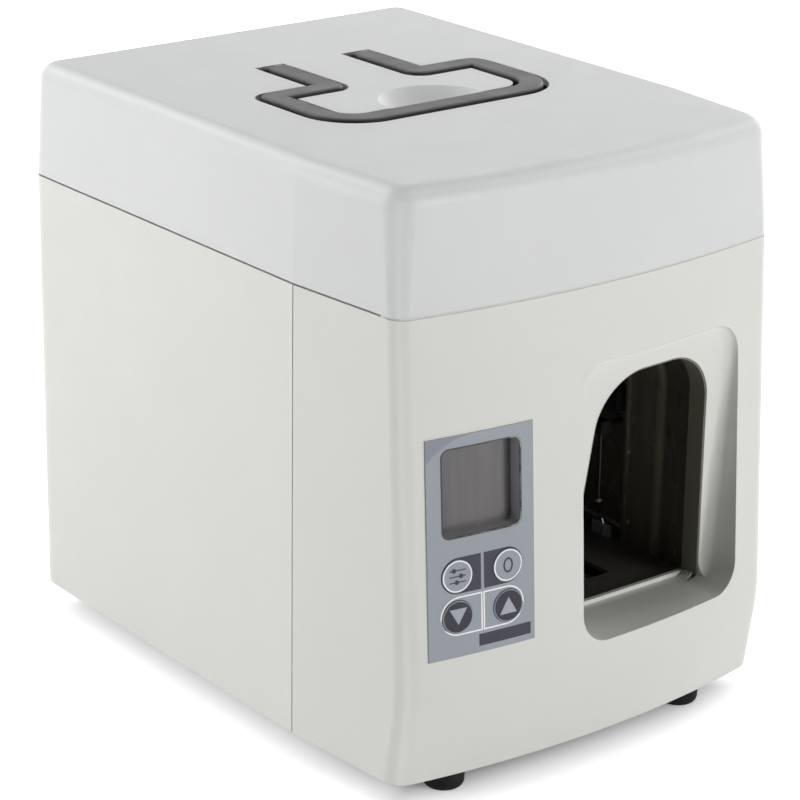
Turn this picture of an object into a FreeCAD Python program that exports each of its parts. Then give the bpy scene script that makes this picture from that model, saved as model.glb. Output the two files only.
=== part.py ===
import FreeCAD, Part
import math
import os
from FreeCAD import Vector

# Banknote strapping machine: lengths in mm, X to the right, Y to the rear, Z up.
# Origin: middle of the footprint, on the floor.

os.makedirs("parts", exist_ok=True)

# Body envelope
body_width = 200.0
body_depth = 248.4
body_height = 189.2
lid_height = 49.2
foot_height = 12.0
body_wall = 2.6
front_lean = 10.1
foot_lean = 4.8
seam_lean = 1.2
knee_height = 36.2
knee_blend = 9.0
bow_seam = 9.2
bow_foot = 9.8
front_taper = 4.6
seam_setback = 56.9
foot_radius = 5.0
front_radius = 7.0
rear_radius = 9.5
seam_gap = 0.5
over = 6.0
far = 60.0

# Lid
lid_gap = 0.8
lid_draft = 1.4
lid_front_radius = 11.0
lid_rear_draft = 2.8
lid_edge = 7.8
lid_inner_edge = 5.0
lid_wall = 2.8

# Lid hinges
hinge_inset = 40.0
leaf_width = 34.0
leaf_height = 13.0
leaf_thick = 1.2
knuckle_radius = 2.6
pin_radius = 1.3
run_gap = 0.08
side_gap = 0.4
pad_reach = 1.6
leaf_screw_share = 0.6
screw_head = 2.4
screw_head_thick = 0.9
screw_shank = 1.2
screw_length = 5.0

# Handle and its groove
arm_x = 22.6
limb_x = 52.6
bar_setback = 136.4
grip_setback = 88.2
groove_end_setback = 180.4
groove_width = 15.0
handle_gap = 2.2
grip_turn = 17.0
bar_turn = 1.5
end_turn = 3.0
handle_thick = 8.0
handle_rise = 1.0
handle_edge = 1.6
handle_pin_radius = 1.6
tray_wall = 1.4
tray_floor_gap = 2.0
scoop_reach = 24.0
scoop_half = 17.0
scoop_depth = 7.0

# Recess and arch in the front
recess_left_reach = 44.7
recess_right_reach = 43.6
recess_low = 42.5
recess_high = 158.5
recess_corner = 13.0
recess_fillet = 5.0
recess_depth_high = 2.2
recess_depth_low = 3.4
arch_place_share = 0.317
arch_half = 31.7
arch_foot_half = 38.0
arch_flat = 7.7
arch_top = 148.9
liner_wall = 0.8
liner_sink = 0.4
liner_depth = 9.2
sill_thick = 2.4
lip_height = 1.8
lip_thick = 2.0

# Keypad and display
pad_place_share = -0.615
pad_width = 47.6
pad_low = 53.0
pad_high = 142.0
overlay_thick = 0.5
window_width = 34.8
window_shift = 0.3
window_low = 101.8
window_high = 136.9
window_corner = 3.0
bezel_wall = 1.2
display_depth = 5.0
board_depth = 8.6
board_thick = 1.6
board_margin = 2.0
key_radius = 6.5
key_clear = 0.3
key_proud = 0.9
key_flange = 1.1
key_flange_thick = 1.2
key_travel = 0.8
key_pitch = 22.6
key_shift = 0.0
key_high_z = 86.2
key_low_z = 69.6
switch_radius = 2.4
switch_gap = 0.3
boss_radius = 2.6
boss_inset = 2.8
boss_z_low = 57.5
boss_z_high = 97.2

# Base
flange_reach = 6.0
flange_thick = 2.5
plate_thick = 1.6
plate_sink = 0.4
plate_clear = 0.3
foot_radius = 9.0
foot_low_radius = 8.2
foot_round = 2.8
foot_inset = 36.6
foot_head_share = 0.8
foot_front_setback = 5.0
foot_rear_place_share = 0.91
foot_bore = 2.2
foot_counter = 3.8
foot_counter_depth = 4.0

# Mechanism plate
mech_setback = 52.0
mech_thick = 2.0
mech_inset = 13.0
mech_top = 176.0
mech_flange = 16.0
hole_half = 47.5
hole_top = 165.0

# Bay
floor_thick = 2.0
bay_left_reach = 45.2
bay_right_reach = 44.8
bay_clear = 0.4
bay_back_place_share = 0.515
bay_wall_thick = 2.0
bay_wall_top = 140.0
stop_thick = 2.0
stop_top = 150.0

# Tape track
track_setback = 28.0
hood_setback = 10.0
track_half = 38.6
track_top = 150.0
track_thick = 4.0
track_groove_depth = 1.4
track_rim = 1.6
tape_gate_high = 58.0

# Tape reel
reel_side_gap = 6.2
reel_z = 128.0
reel_shaft_radius = 4.0
reel_core_radius = 13.0
roll_inset = 2.0
roll_width = 20.0
roll_gap = 0.2
reel_flange_thick = 1.6
reel_cap_radius = 16.0
reel_cap_thick = 3.0
hub_hole_share = 0.32

# Tape rollers
nip_offset = 64.0
feed_radius = 9.0
feed_z = 36.0
pinch_radius = 7.0
nip_gap = 0.3
idler_offset = 60.0
idler_z = 78.0
idler_radius = 5.0
roller_shaft_radius = 2.5
roller_end = 1.0
shaft_collar_share = 1.6

# Motors
motor_side = 35.0
motor_length = 32.0
motor_corner = 4.0
motor_pilot_radius = 11.0
motor_pilot = 1.2

# Clamp
clamp_pad_thick = 3.0
clamp_pad_front = 60.0
clamp_pad_inset = 6.0
clamp_pad_low = 56.0
clamp_pad_high = 132.0
clamp_pad_gap = 1.2
clamp_rod_radius = 3.0
clamp_rod_low = 74.0
clamp_rod_high = 118.0
clamp_axis_z = 96.0
clamp_rod_gap = 3.6
clamp_screw_radius = 2.5
bracket_gap = 16.0
bracket_thick = 3.0
bracket_low = 62.0
bracket_high = 135.0
bracket_inset = 2.0
bracket_foot = 12.0
clamp_pass_gap = 1.0

# Seal head
seal_half = 12.0
seal_front = 31.0
seal_back = 49.0
heater_high = 38.5
heater_thick = 7.0
holder_thick = 4.0
plunger_radius = 4.0
solenoid_half = 11.0
solenoid_top = 22.5
slot_clear = 1.0
blade_thick = 0.8
blade_rise = 1.4
blade_offset = 7.0
blade_edge_share = 0.8

# Sensing post
post_inset = 13.5
post_setback = 58.5
post_low = 61.5
post_high = 95.0
post_radius = 0.9
ball_radius = 1.8
knob_half = 2.8
lever_length = 24.0
lever_thick = 2.4
sensor_pin_radius = 1.2
sensor_pin_z = 60.0
sensor_switch_length = 20.0
sensor_switch_high = 10.0
sensor_switch_wide = 6.0

# Power and electronics
trans_inset = 17.0
trans_width = 58.0
trans_place_share = 0.604
trans_depth = 56.0
trans_high = 52.0
coil_margin = 10.0
coil_bulge = 7.0
main_gap = 16.0
main_inset = 17.0
main_place_share = 0.588
main_depth = 80.0
standoff_height = 8.0
standoff_radius = 3.0
standoff_margin = 6.0
chip_side = 22.0
chip_thick = 3.0
cap_radius = 7.0
cap_height = 22.0
cap_pitch_share = 0.6
relay_side = 18.0
relay_height = 15.0
inlet_place_share = 0.58
inlet_z = 24.0
inlet_width = 27.5
inlet_height = 20.0
inlet_body_depth = 18.0
inlet_flange = 2.5
inlet_flange_thick = 1.5
inlet_pocket = 12.0
inlet_wall = 2.0
inlet_pin_width = 2.0
inlet_pin_height = 4.5
inlet_pin_pitch = 7.0
inlet_pin_lift = 1.8
rocker_offset = 34.0
rocker_width = 13.0
rocker_height = 19.0
rocker_frame_wall = 1.4
rocker_body_depth = 12.0
rocker_gap = 0.35
rocker_axis_depth = 3.0
rocker_swing = 9.0
rocker_pin_radius = 1.2
rocker_end_share = 0.94
vent_count = 9
vent_pitch = 9.0
vent_slot = 3.0
vent_length = 34.0
vent_z = 120.0
vent_round_share = 0.49

# Lid catch
catch_inset = 17.0
catch_width = 14.0
catch_setback = 8.0
catch_depth = 7.0
magnet_height = 8.0
catch_plate_thick = 1.5
catch_gap = 0.3

# Screws that hold the covers
base_screw_inset = 7.2
base_screw_front = 36.0
base_screw_mid = 96.0
base_screw_rear_share = 0.805

# Derived levels and planes
side_x = body_width / 2
knuckle_out = 2 * knuckle_radius + side_gap
bottom_z = foot_height
split_z = bottom_z + body_height
top_z = split_z + lid_height
knee_z = bottom_z + knee_height

# Derived places across the width
arch_x = side_x * arch_place_share
recess_left = arch_x - recess_left_reach
recess_right = arch_x + recess_right_reach
bay_left = arch_x - bay_left_reach
bay_right = arch_x + bay_right_reach
nip_x = arch_x - nip_offset
idler_x = arch_x - idler_offset
bracket_x = bay_left - bracket_gap
seal_x = arch_x
post_x = bay_right - post_inset
pad_x = side_x * pad_place_share
pad_left = pad_x - pad_width / 2
pad_right = pad_x + pad_width / 2
window_left = pad_x + window_shift - window_width / 2
window_right = pad_x + window_shift + window_width / 2
key_left_x = pad_x + key_shift - key_pitch / 2
key_right_x = pad_x + key_shift + key_pitch / 2
boss_x_left = pad_left + boss_inset
boss_x_right = pad_right - boss_inset
reel_room_left = body_wall - side_x
reel_room_right = arch_x - track_half - track_thick
reel_x = (reel_room_left + reel_room_right) / 2
reel_flange_radius = (reel_room_right - reel_room_left) / 2 - reel_side_gap
roll_radius = reel_flange_radius - roll_inset
hinge_spread = side_x - hinge_inset
foot_x = side_x - foot_inset
mech_right = side_x - mech_inset
mech_left = -mech_right
trans_left = trans_inset - side_x
trans_right = trans_left + trans_width
main_left = trans_right + main_gap
main_right = side_x - main_inset
inlet_x = side_x * inlet_place_share
rocker_x = inlet_x - rocker_offset
catch_x = side_x - catch_inset
base_screw_x = side_x - base_screw_inset

# Derived places from front to rear, as setbacks from the corner plane
bay_back_setback = body_depth * bay_back_place_share
clamp_pad_back = bay_back_setback - clamp_pad_inset
clamp_axis_setback = (clamp_pad_front + clamp_pad_back) / 2
bracket_back = bay_back_setback - bracket_inset
trans_front = body_depth * trans_place_share
trans_back = trans_front + trans_depth
main_front = body_depth * main_place_share
main_back = main_front + main_depth
foot_rear_setback = body_depth * foot_rear_place_share
base_screw_rear = body_depth * base_screw_rear_share
sill_setback = recess_depth_low + liner_depth


def lean_at(z):
    """How far forward of the corner plane the front stands at a height."""
    up = (seam_lean - front_lean) / (split_z - knee_z)
    down = (front_lean - foot_lean) / (knee_z - bottom_z)
    t = z - knee_z
    if t <= -knee_blend:
        return front_lean + down * t
    if t >= knee_blend:
        return front_lean + up * t
    return front_lean + down * t + (up - down) / (4 * knee_blend) * (t + knee_blend) ** 2


def bow_at(z):
    """Sagitta of the front in plan at a height."""
    t = min((z - bottom_z) / body_height, 1.0)
    return bow_foot + (bow_seam - bow_foot) * t


knee_levels = [knee_z + knee_blend * k / 8 for k in range(-8, 9)]
front_reach = max(lean_at(z) + bow_at(z) for z in knee_levels)
rear_y = (front_reach + body_depth - knuckle_out) / 2
datum_y = rear_y - body_depth
seam_y = datum_y + seam_setback


def front_y(x, z):
    """The front surface at a point of the elevation."""
    half = side_x - front_taper
    return datum_y - lean_at(z) - bow_at(z) * (1 - (x / half) ** 2)


def at(z_above_body):
    """Height measured from the underside of the body."""
    return bottom_z + z_above_body


def back(setback):
    """Depth measured from the corner plane of the front."""
    return datum_y + setback


# Basic shapes


def box(x0, x1, y0, y1, z0, z1):
    return Part.makeBox(x1 - x0, y1 - y0, z1 - z0, Vector(x0, y0, z0))


def pin_x(x0, x1, y, z, r):
    return Part.makeCylinder(r, x1 - x0, Vector(x0, y, z), Vector(1, 0, 0))


def pin_y(x, y0, y1, z, r):
    return Part.makeCylinder(r, y1 - y0, Vector(x, y0, z), Vector(0, 1, 0))


def pin_z(x, y, z0, z1, r):
    return Part.makeCylinder(r, z1 - z0, Vector(x, y, z0), Vector(0, 0, 1))


def mirrored(shape):
    return shape.mirror(Vector(0, 0, 0), Vector(1, 0, 0))


def group(shapes):
    return Part.makeCompound(shapes)


def joined(first, others):
    return first.fuse(others).removeSplitter()


def one(shape):
    """The single solid of a shape that holds just one."""
    return shape.Solids[0] if len(shape.Solids) == 1 else shape


def save(name, shape):
    one(shape).exportStep("parts/" + name + ".step")


def round_panel(x0, x1, z0, z1, r, y0, y1):
    """Upright slab with rounded corners, through a span of depth."""
    slab = box(x0, x1, y0, y1, z0, z1)
    edges = [e for e in slab.Edges if abs(e.Vertexes[0].Y - e.Vertexes[1].Y) > (y1 - y0) / 2]
    return slab.makeFillet(r, edges)


# Body outline in plan


def flip(v):
    """The same point on the other side."""
    return Vector(-v.x, v.y, v.z)


def outline(z, inset):
    """Closed plan outline of the body or the lid at a height, moved inward."""
    above = max(z - split_z, 0)
    draft = lid_draft * above / lid_height
    rear_draft = lid_rear_draft * above / lid_height
    xs = side_x - draft - inset
    xc = xs - front_taper
    yf = datum_y - lean_at(z) + inset
    ys = seam_y
    yr = rear_y - rear_draft - inset
    bow = bow_at(z)
    big = (xc * xc + bow * bow) / (2 * bow)
    mid = Vector(0, yf - bow + big, z)
    below = max(split_z - z, 0)
    corner = front_radius + (lid_front_radius - front_radius) * above / lid_height
    corner = corner - (front_radius - foot_radius) * below / body_height
    rf = max(corner - inset, corner / 4)
    rr = max(rear_radius - inset, rear_radius / 4)
    start = Vector(xc, yf, z)
    along = Vector(xs, ys, z) - start
    along.normalize()
    inward = Vector(-along.y, along.x, 0)
    foot = start + inward * rf - mid
    half_b = foot.dot(along)
    t = -half_b - math.sqrt(half_b ** 2 - foot.dot(foot) + (big - rf) ** 2)
    if t < 0:
        t = -half_b + math.sqrt(half_b ** 2 - foot.dot(foot) + (big - rf) ** 2)
    centre = start + inward * rf + along * t
    on_side = start + along * t
    on_bow = mid + (centre - mid) * (big / (big - rf))
    turn = (on_side - centre) + (on_bow - centre)
    turn.normalize()
    on_turn = centre + turn * rf
    q = rr * (1 - math.sqrt(0.5))
    nose = Vector(0, yf - bow, z)
    side = Vector(xs, ys, z)
    low = Vector(xs, yr - rr, z)
    bend = Vector(xs - q, yr - q, z)
    end = Vector(xs - rr, yr, z)
    edges = [
        Part.Arc(flip(on_bow), nose, on_bow).toShape(),
        Part.Arc(on_bow, on_turn, on_side).toShape(),
        Part.makeLine(on_side, side),
        Part.makeLine(side, low),
        Part.Arc(low, bend, end).toShape(),
        Part.makeLine(end, flip(end)),
        Part.Arc(flip(end), flip(bend), flip(low)).toShape(),
        Part.makeLine(flip(low), flip(side)),
        Part.makeLine(flip(side), flip(on_side)),
        Part.Arc(flip(on_side), flip(on_turn), flip(on_bow)).toShape(),
    ]
    return Part.Wire(edges)


body_levels = [bottom_z]
body_levels += [knee_z + knee_blend * s / 3 for s in (-3, -1, 1, 3)]
body_levels += [split_z]


def body_solid(inset, z0, z1):
    """Solid body form between two heights, moved inward."""
    levels = [z0] + [z for z in body_levels if z0 < z < z1] + [z1]
    return Part.makeLoft([outline(z, inset) for z in levels], True, True)


def skin(outer_inset, inner_inset):
    """Layer of the body form between two insets."""
    outer = body_solid(outer_inset, bottom_z, split_z)
    inner = body_solid(inner_inset, bottom_z - over, split_z + over)
    return outer.cut(inner)


def layer(prism, outer_inset, inner_inset):
    """Piece of the front, as deep as two insets, in the outline of a prism."""
    piece = prism.common(body_solid(outer_inset, bottom_z, split_z))
    return piece.cut(body_solid(inner_inset, bottom_z, split_z))


# Recess and arch forms


def recess_space(extra_depth):
    """All room in front of the recess floor, or of a surface behind it."""
    z0 = at(recess_low) - over
    z1 = at(recess_high) + over
    x0 = recess_left - over
    x1 = recess_right + over
    xm = (x0 + x1) / 2
    y0 = datum_y - far
    high = [Vector(x, front_y(x, z1) + recess_depth_high + extra_depth, z1) for x in (x0, xm, x1)]
    low = [Vector(x, datum_y + recess_depth_low + extra_depth, z0) for x in (x0, xm, x1)]
    wires = []
    for back_points in (low, high):
        z = back_points[0].z
        a = Vector(x0, y0, z)
        b = Vector(x1, y0, z)
        curve = Part.BSplineCurve()
        curve.interpolate(back_points)
        wires.append(Part.Wire([
            Part.makeLine(b, a),
            Part.makeLine(a, back_points[0]),
            curve.toShape(),
            Part.makeLine(back_points[2], b),
        ]))
    return Part.makeLoft(wires, True, True)


def recess_block(grow):
    """The recess as a solid, grown on all sides."""
    prism = round_panel(recess_left - grow, recess_right + grow, at(recess_low) - grow, at(recess_high) + grow,
                        recess_corner + grow, datum_y - far, datum_y + far)
    block = prism.common(recess_space(grow))
    floor = max(block.Faces, key=lambda f: f.CenterOfMass.y if f.Area > far * far else -far)
    return block.makeFillet(recess_fillet + grow, floor.Edges)


arch_flare = math.atan((arch_foot_half - arch_half) / (arch_top - arch_half + arch_flat - recess_low))


def recess_outline():
    """The outline of the recess as a long upright prism."""
    return round_panel(recess_left, recess_right, at(recess_low), at(recess_high), recess_corner,
                       datum_y - far, datum_y + far)


def arch_wire(half, flare, z_top, z_low, y):
    """Arch outline: flat crown, round shoulders and sides that open downward."""
    r = half - arch_flat
    cz = z_top - r
    ax = arch_flat + r * math.cos(flare)
    az = cz + r * math.sin(flare)
    turn = (flare + math.pi / 2) / 2
    mx = arch_flat + r * math.cos(turn)
    mz = cz + r * math.sin(turn)
    spread = ax + (az - z_low) * math.tan(flare)
    right = [(arch_flat, z_top), (mx, mz), (ax, az), (spread, z_low)]
    r0, r1, r2, r3 = [Vector(arch_x + dx, y, z) for dx, z in right]
    l0, l1, l2, l3 = [Vector(arch_x - dx, y, z) for dx, z in right]
    edges = [Part.makeLine(l0, r0), Part.Arc(r0, r1, r2).toShape(), Part.makeLine(r2, r3)]
    edges += [Part.makeLine(r3, l3), Part.makeLine(l3, l2), Part.Arc(l2, l1, l0).toShape()]
    return Part.Wire(edges)


def arch_prism(grow, z_low, y0, y1, half=arch_half, flare=arch_flare, top=arch_top):
    wire = arch_wire(half + grow, flare, at(top) + grow, z_low, y0)
    return Part.Face(wire).extrude(Vector(0, y1 - y0, 0))


# Front shell

window_box = (window_left, window_right, at(window_low), at(window_high))
key_places = [
    ("key_settings", key_left_x, at(key_high_z)),
    ("key_zero", key_right_x, at(key_high_z)),
    ("key_down", key_left_x, at(key_low_z)),
    ("key_up", key_right_x, at(key_low_z)),
]
boss_places = [(x, at(z)) for x in (boss_x_left, boss_x_right) for z in (boss_z_low, boss_z_high)]
front_from = datum_y - far
front_to = datum_y + far / 2
sill_y = back(sill_setback)


def display_prism(grow):
    x0, x1, z0, z1 = window_box
    return round_panel(x0 - grow, x1 + grow, z0 - grow, z1 + grow, window_corner + grow, front_from, front_to)


def shell_ring(y0, y1):
    """Walls of the body with the ledge above the base plate, between two depths."""
    walls = skin(0, body_wall)
    ledge_low = bottom_z + plate_sink + plate_thick
    ledge = body_solid(body_wall / 2, ledge_low, ledge_low + flange_thick)
    ledge = ledge.cut(body_solid(body_wall + flange_reach, ledge_low - over, ledge_low + flange_thick + over))
    ring = joined(walls, [ledge])
    keep = box(-body_width, body_width, y0, y1, bottom_z - over, split_z + over)
    return ring.common(keep)


def make_front_shell():
    shell = shell_ring(datum_y - far, seam_y - seam_gap / 2)
    inside = body_solid(body_wall / 2, bottom_z, split_z)
    shell = shell.fuse(recess_block(body_wall).common(inside))
    sill_low = at(recess_low) - sill_thick
    sill = box(arch_x - arch_foot_half, arch_x + arch_foot_half, datum_y, sill_y, sill_low, at(recess_low))
    lip_half = arch_foot_half - liner_wall
    lip_top = at(recess_low) + lip_height
    lip = box(arch_x - lip_half, arch_x + lip_half, sill_y - lip_thick, sill_y, sill_low, lip_top)
    shell = shell.fuse([sill, lip])
    for x, z in boss_places:
        boss = layer(pin_y(x, front_from, front_to, z, boss_radius), body_wall / 2, board_depth)
        shell = shell.fuse(boss)
    for side in (-1, 1):
        shelf = catch_shelf(side)
        shell = shell.fuse(shelf)
    shell = shell.cut(recess_block(0))
    shell = shell.cut(arch_prism(0, at(recess_low), front_from, sill_y - lip_thick).common(recess_outline()))
    shell = shell.cut(display_prism(bezel_wall))
    for name, x, z in key_places:
        shell = shell.cut(pin_y(x, front_from, front_to, z, key_radius + key_clear))
    for x, y in base_screw_places(seam_y, False):
        shell = shell.cut(pin_z(x, y, bottom_z, bottom_z + far / 4, screw_shank))
    return shell.removeSplitter()


def catch_shelf(side):
    """Shelf inside the front corner that carries a magnet."""
    x0 = side * catch_x - catch_width / 2
    z1 = split_z - magnet_height + catch_gap
    room = body_solid(body_wall / 2, bottom_z, split_z)
    block = box(x0 - catch_width / 4, x0 + catch_width * 5 / 4, datum_y - far, back(catch_setback) + catch_depth,
                z1 - body_wall, z1)
    return block.common(room)


def make_catch_magnets():
    z1 = split_z - magnet_height + catch_gap
    shapes = []
    for side in (-1, 1):
        x0 = side * catch_x - catch_width / 2
        shapes.append(box(x0, x0 + catch_width, back(catch_setback), back(catch_setback) + catch_depth,
                          z1, z1 + magnet_height))
    return group(shapes)


def catch_plate_low():
    return split_z + 2 * catch_gap


def make_catch_plates():
    z0 = catch_plate_low()
    shapes = []
    for side in (-1, 1):
        x0 = side * catch_x - catch_width / 2
        shapes.append(box(x0, x0 + catch_width, back(catch_setback), back(catch_setback) + catch_depth,
                          z0, z0 + catch_plate_thick))
    return group(shapes)


# Rear cover


def rear_box(x, z, width, height, grow):
    return box(x - width / 2 - grow, x + width / 2 + grow, rear_y - far / 2, rear_y + far / 2,
               z - height / 2 - grow, z + height / 2 + grow)


def make_rear_cover():
    cover = shell_ring(seam_y + seam_gap / 2, rear_y + far)
    cover = cover.cut(rear_box(inlet_x, at(inlet_z), inlet_width, inlet_height, 0))
    cover = cover.cut(rear_box(rocker_x, at(inlet_z), rocker_width, rocker_height, rocker_frame_wall))
    first = -(vent_count - 1) / 2 * vent_pitch
    for i in range(vent_count):
        x = first + i * vent_pitch
        slot = round_panel(x - vent_slot / 2, x + vent_slot / 2, at(vent_z), at(vent_z) + vent_length,
                           vent_slot * vent_round_share, rear_y - far / 4, rear_y + far / 4)
        cover = cover.cut(slot)
    for x, y in base_screw_places(seam_y, True):
        cover = cover.cut(pin_z(x, y, bottom_z, bottom_z + far / 4, screw_shank))
    for x, z in leaf_screw_places(-1):
        cover = cover.cut(pin_y(x, rear_y - far / 4, rear_y + far / 4, z, screw_shank))
    return cover.removeSplitter()


# Base


def base_screw_places(split, behind):
    places = []
    for setback in (base_screw_front, base_screw_mid, base_screw_rear):
        y = back(setback)
        if (y > split) == behind:
            places += [(-base_screw_x, y), (base_screw_x, y)]
    return places


foot_places = [(x, back(s)) for x in (-foot_x, foot_x) for s in (foot_front_setback, foot_rear_setback)]
plate_low = bottom_z + plate_sink
plate_high = plate_low + plate_thick


def make_base_plate():
    plate = body_solid(body_wall + plate_clear, plate_low, plate_high)
    for x, y in base_screw_places(seam_y, False) + base_screw_places(seam_y, True):
        plate = plate.cut(pin_z(x, y, plate_low - over, plate_high + over, screw_shank))
    for x, y in foot_places:
        plate = plate.cut(pin_z(x, y, plate_low - over, plate_high + over, foot_bore))
    return plate


def make_feet():
    shapes = []
    for x, y in foot_places:
        foot = Part.makeCone(foot_low_radius, foot_radius, plate_low, Vector(x, y, 0))
        low = [e for e in on_level(foot, 0) if len(e.Vertexes) == 1]
        foot = foot.makeFillet(foot_round, low)
        foot = foot.cut(pin_z(x, y, -over, plate_low + over, foot_bore))
        foot = foot.cut(pin_z(x, y, -over, foot_counter_depth, foot_counter))
        shapes.append(foot)
    return group(shapes)


def make_foot_screws():
    shapes = []
    r = foot_counter * foot_head_share
    for x, y in foot_places:
        head = pin_z(x, y, foot_counter_depth - screw_head_thick * 2, foot_counter_depth, r)
        shank = pin_z(x, y, foot_counter_depth, plate_high + screw_head_thick, foot_bore)
        nut = pin_z(x, y, plate_high, plate_high + screw_head_thick * 2, r)
        shapes.append(head.fuse([shank, nut]).removeSplitter())
    return group(shapes)


def make_base_screws():
    shapes = []
    for x, y in base_screw_places(seam_y, False) + base_screw_places(seam_y, True):
        head = pin_z(x, y, plate_low - screw_head_thick, plate_low, screw_head)
        shank = pin_z(x, y, plate_low, plate_high + flange_thick, screw_shank)
        shapes.append(head.fuse(shank).removeSplitter())
    return group(shapes)


# Lid

lid_low = split_z + lid_gap
lid_inner_top = top_z - lid_wall
hinge_y = rear_y + side_gap + knuckle_radius
hinge_z = split_z + lid_gap / 2
hinge_places = (-hinge_spread, hinge_spread)


def on_level(shape, z):
    """Edges of a shape that lie in a level plane."""
    return [e for e in shape.Edges if all(abs(v.Z - z) < side_gap / 4 for v in e.Vertexes)]


def groove_form(width, z0, z1, end_y):
    """Outline of the handle, of its groove or of the tray, as a solid."""
    h = width / 2
    bar = back(bar_setback)
    grip = back(grip_setback)
    turn_x = limb_x - grip_turn
    turn_y = grip + grip_turn
    arm = box(arm_x - h, arm_x + h, bar - h, end_y, z0, z1)
    cross = box(arm_x - h, limb_x + h, bar - h, bar + h, z0, z1)
    limb = box(limb_x - h, limb_x + h, turn_y, bar + h, z0, z1)
    bend = pin_z(turn_x, turn_y, z0, z1, grip_turn + h)
    bend = bend.cut(pin_z(turn_x, turn_y, z0 - over, z1 + over, grip_turn - h))
    bend = bend.common(box(turn_x, limb_x + h + over, grip - h - over, turn_y, z0, z1))
    half = joined(arm, [cross, limb, bend])
    corners = [(limb_x + h, bar + h), (arm_x - h, bar - h)]
    edges = []
    for e in half.Edges:
        a, b = e.Vertexes[0], e.Vertexes[-1]
        for x, y in corners:
            if abs(a.X - x) + abs(a.Y - y) + abs(b.X - x) + abs(b.Y - y) < side_gap:
                edges.append(e)
    half = half.makeFillet(h + bar_turn, edges)
    grip_bar = box(-turn_x, turn_x, grip - h, grip + h, z0, z1)
    return joined(half, [mirrored(half), grip_bar])


scoop_ball = (scoop_reach ** 2 + scoop_depth ** 2) / (2 * scoop_depth)
scoop_y = back(grip_setback) + groove_width / 2


def scoop(grow):
    """Ball that hollows the lid behind the grip, so that fingers get under it."""
    centre = Vector(0, scoop_y, top_z + scoop_ball - scoop_depth)
    ball = Part.makeSphere(scoop_ball + grow, centre)
    band = box(-scoop_reach * 2, scoop_reach * 2, scoop_y, scoop_y + scoop_reach * 2,
               top_z - scoop_depth * 2 - grow, top_z + scoop_ball)
    return ball.common(band)


def make_top_lid():
    lid = Part.makeLoft([outline(lid_low, 0), outline(top_z, 0)], True, True)
    lid = lid.makeFillet(lid_edge, on_level(lid, top_z))
    room = Part.makeLoft([outline(split_z, lid_wall), outline(lid_inner_top, lid_wall)], True, True)
    room = room.makeFillet(lid_inner_edge, on_level(room, lid_inner_top))
    full = lid.copy()
    lid = lid.cut(room)
    dish = scoop(lid_wall).common(full)
    dish = dish.common(box(-body_width, body_width, scoop_y, rear_y, top_z - scoop_depth - lid_wall, top_z))
    extras = [dish]
    for x in hinge_places:
        extras.append(box(x - leaf_width / 2 - side_gap, x + leaf_width / 2 + side_gap,
                          rear_y - lid_wall * 2, rear_y, lid_low, lid_low + leaf_height + side_gap))
    z0 = catch_plate_low() + catch_plate_thick
    levels = [outline(lid_low, lid_wall / 2), outline(top_z - lid_wall, lid_wall / 2)]
    for side in (-1, 1):
        x0 = side * catch_x - catch_width / 2
        shelf = box(x0 - catch_width / 4, x0 + catch_width * 5 / 4, datum_y - far,
                    back(catch_setback) + catch_depth, z0, z0 + body_wall)
        extras.append(shelf.common(Part.makeLoft(levels, True, True)))
    lid = lid.fuse(extras)
    end_y = back(groove_end_setback)
    lid = lid.cut(groove_form(groove_width, top_z - lid_wall * 2 - scoop_depth, top_z + over, end_y))
    lid = lid.cut(groove_form(groove_width + 2 * tray_wall, tray_low, lid_inner_top, end_y + tray_wall))
    lid = lid.cut(scoop(0))
    for x, z in leaf_screw_places(1):
        lid = lid.cut(pin_y(x, rear_y - far / 4, rear_y + far / 4, z, screw_shank))
    for x in (-arm_x, arm_x):
        half = groove_width / 2 + tray_wall
        lid = lid.cut(pin_x(x - half, x + half, handle_pivot_y, handle_pivot_z, handle_pin_radius))
    return lid.removeSplitter()


# Lid hinges


def leaf_screw_places(side):
    z = hinge_z + side * leaf_height * leaf_screw_share
    reach = leaf_width / 2 * leaf_screw_share
    return [(x + s * reach, z) for x in hinge_places for s in (-1, 1)]


def leaf(x, side):
    """One leaf: below the axis with the outer knuckles, or above it with the middle one."""
    third = leaf_width / 6
    z0 = hinge_z + side_gap if side > 0 else hinge_z - leaf_height
    z1 = hinge_z + leaf_height if side > 0 else hinge_z - side_gap
    plate = box(x - leaf_width / 2, x + leaf_width / 2, rear_y, rear_y + leaf_thick, z0, z1)
    tubes = []
    blocks = []
    clear = side_gap / 2
    if side > 0:
        spans = [(x - third + clear, x + third - clear)]
        empty = [(x - leaf_width / 2, x - third - clear), (x + third + clear, x + leaf_width / 2)]
    else:
        spans = [(x - leaf_width / 2, x - third - clear), (x + third + clear, x + leaf_width / 2)]
        empty = [(x - third - clear, x + third + clear)]
    for a, b in spans:
        tubes.append(pin_x(a, b, hinge_y, hinge_z, knuckle_radius))
        web_z = sorted((hinge_z, hinge_z + side * knuckle_radius))
        blocks.append(box(a, b, rear_y, rear_y + leaf_thick, web_z[0], web_z[1]))
    shape = plate.fuse(blocks).fuse(tubes)
    bore = pin_radius + (run_gap if side > 0 else 0)
    for a, b in spans:
        shape = shape.cut(pin_x(a - over, b + over, hinge_y, hinge_z, bore))
    for a, b in empty:
        shape = shape.cut(pin_x(a - clear, b + clear, hinge_y, hinge_z, knuckle_radius + side_gap))
    for sx, sz in leaf_screw_places(side):
        shape = shape.cut(pin_y(sx, rear_y - over, rear_y + over, sz, screw_shank))
    return shape.removeSplitter()


def make_hinge_body_leaves():
    return group([leaf(x, -1) for x in hinge_places])


def make_hinge_lid_leaves():
    return group([leaf(x, 1) for x in hinge_places])


def make_hinge_pins():
    half = leaf_width / 2
    return group([pin_x(x - half, x + half, hinge_y, hinge_z, pin_radius) for x in hinge_places])


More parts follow.
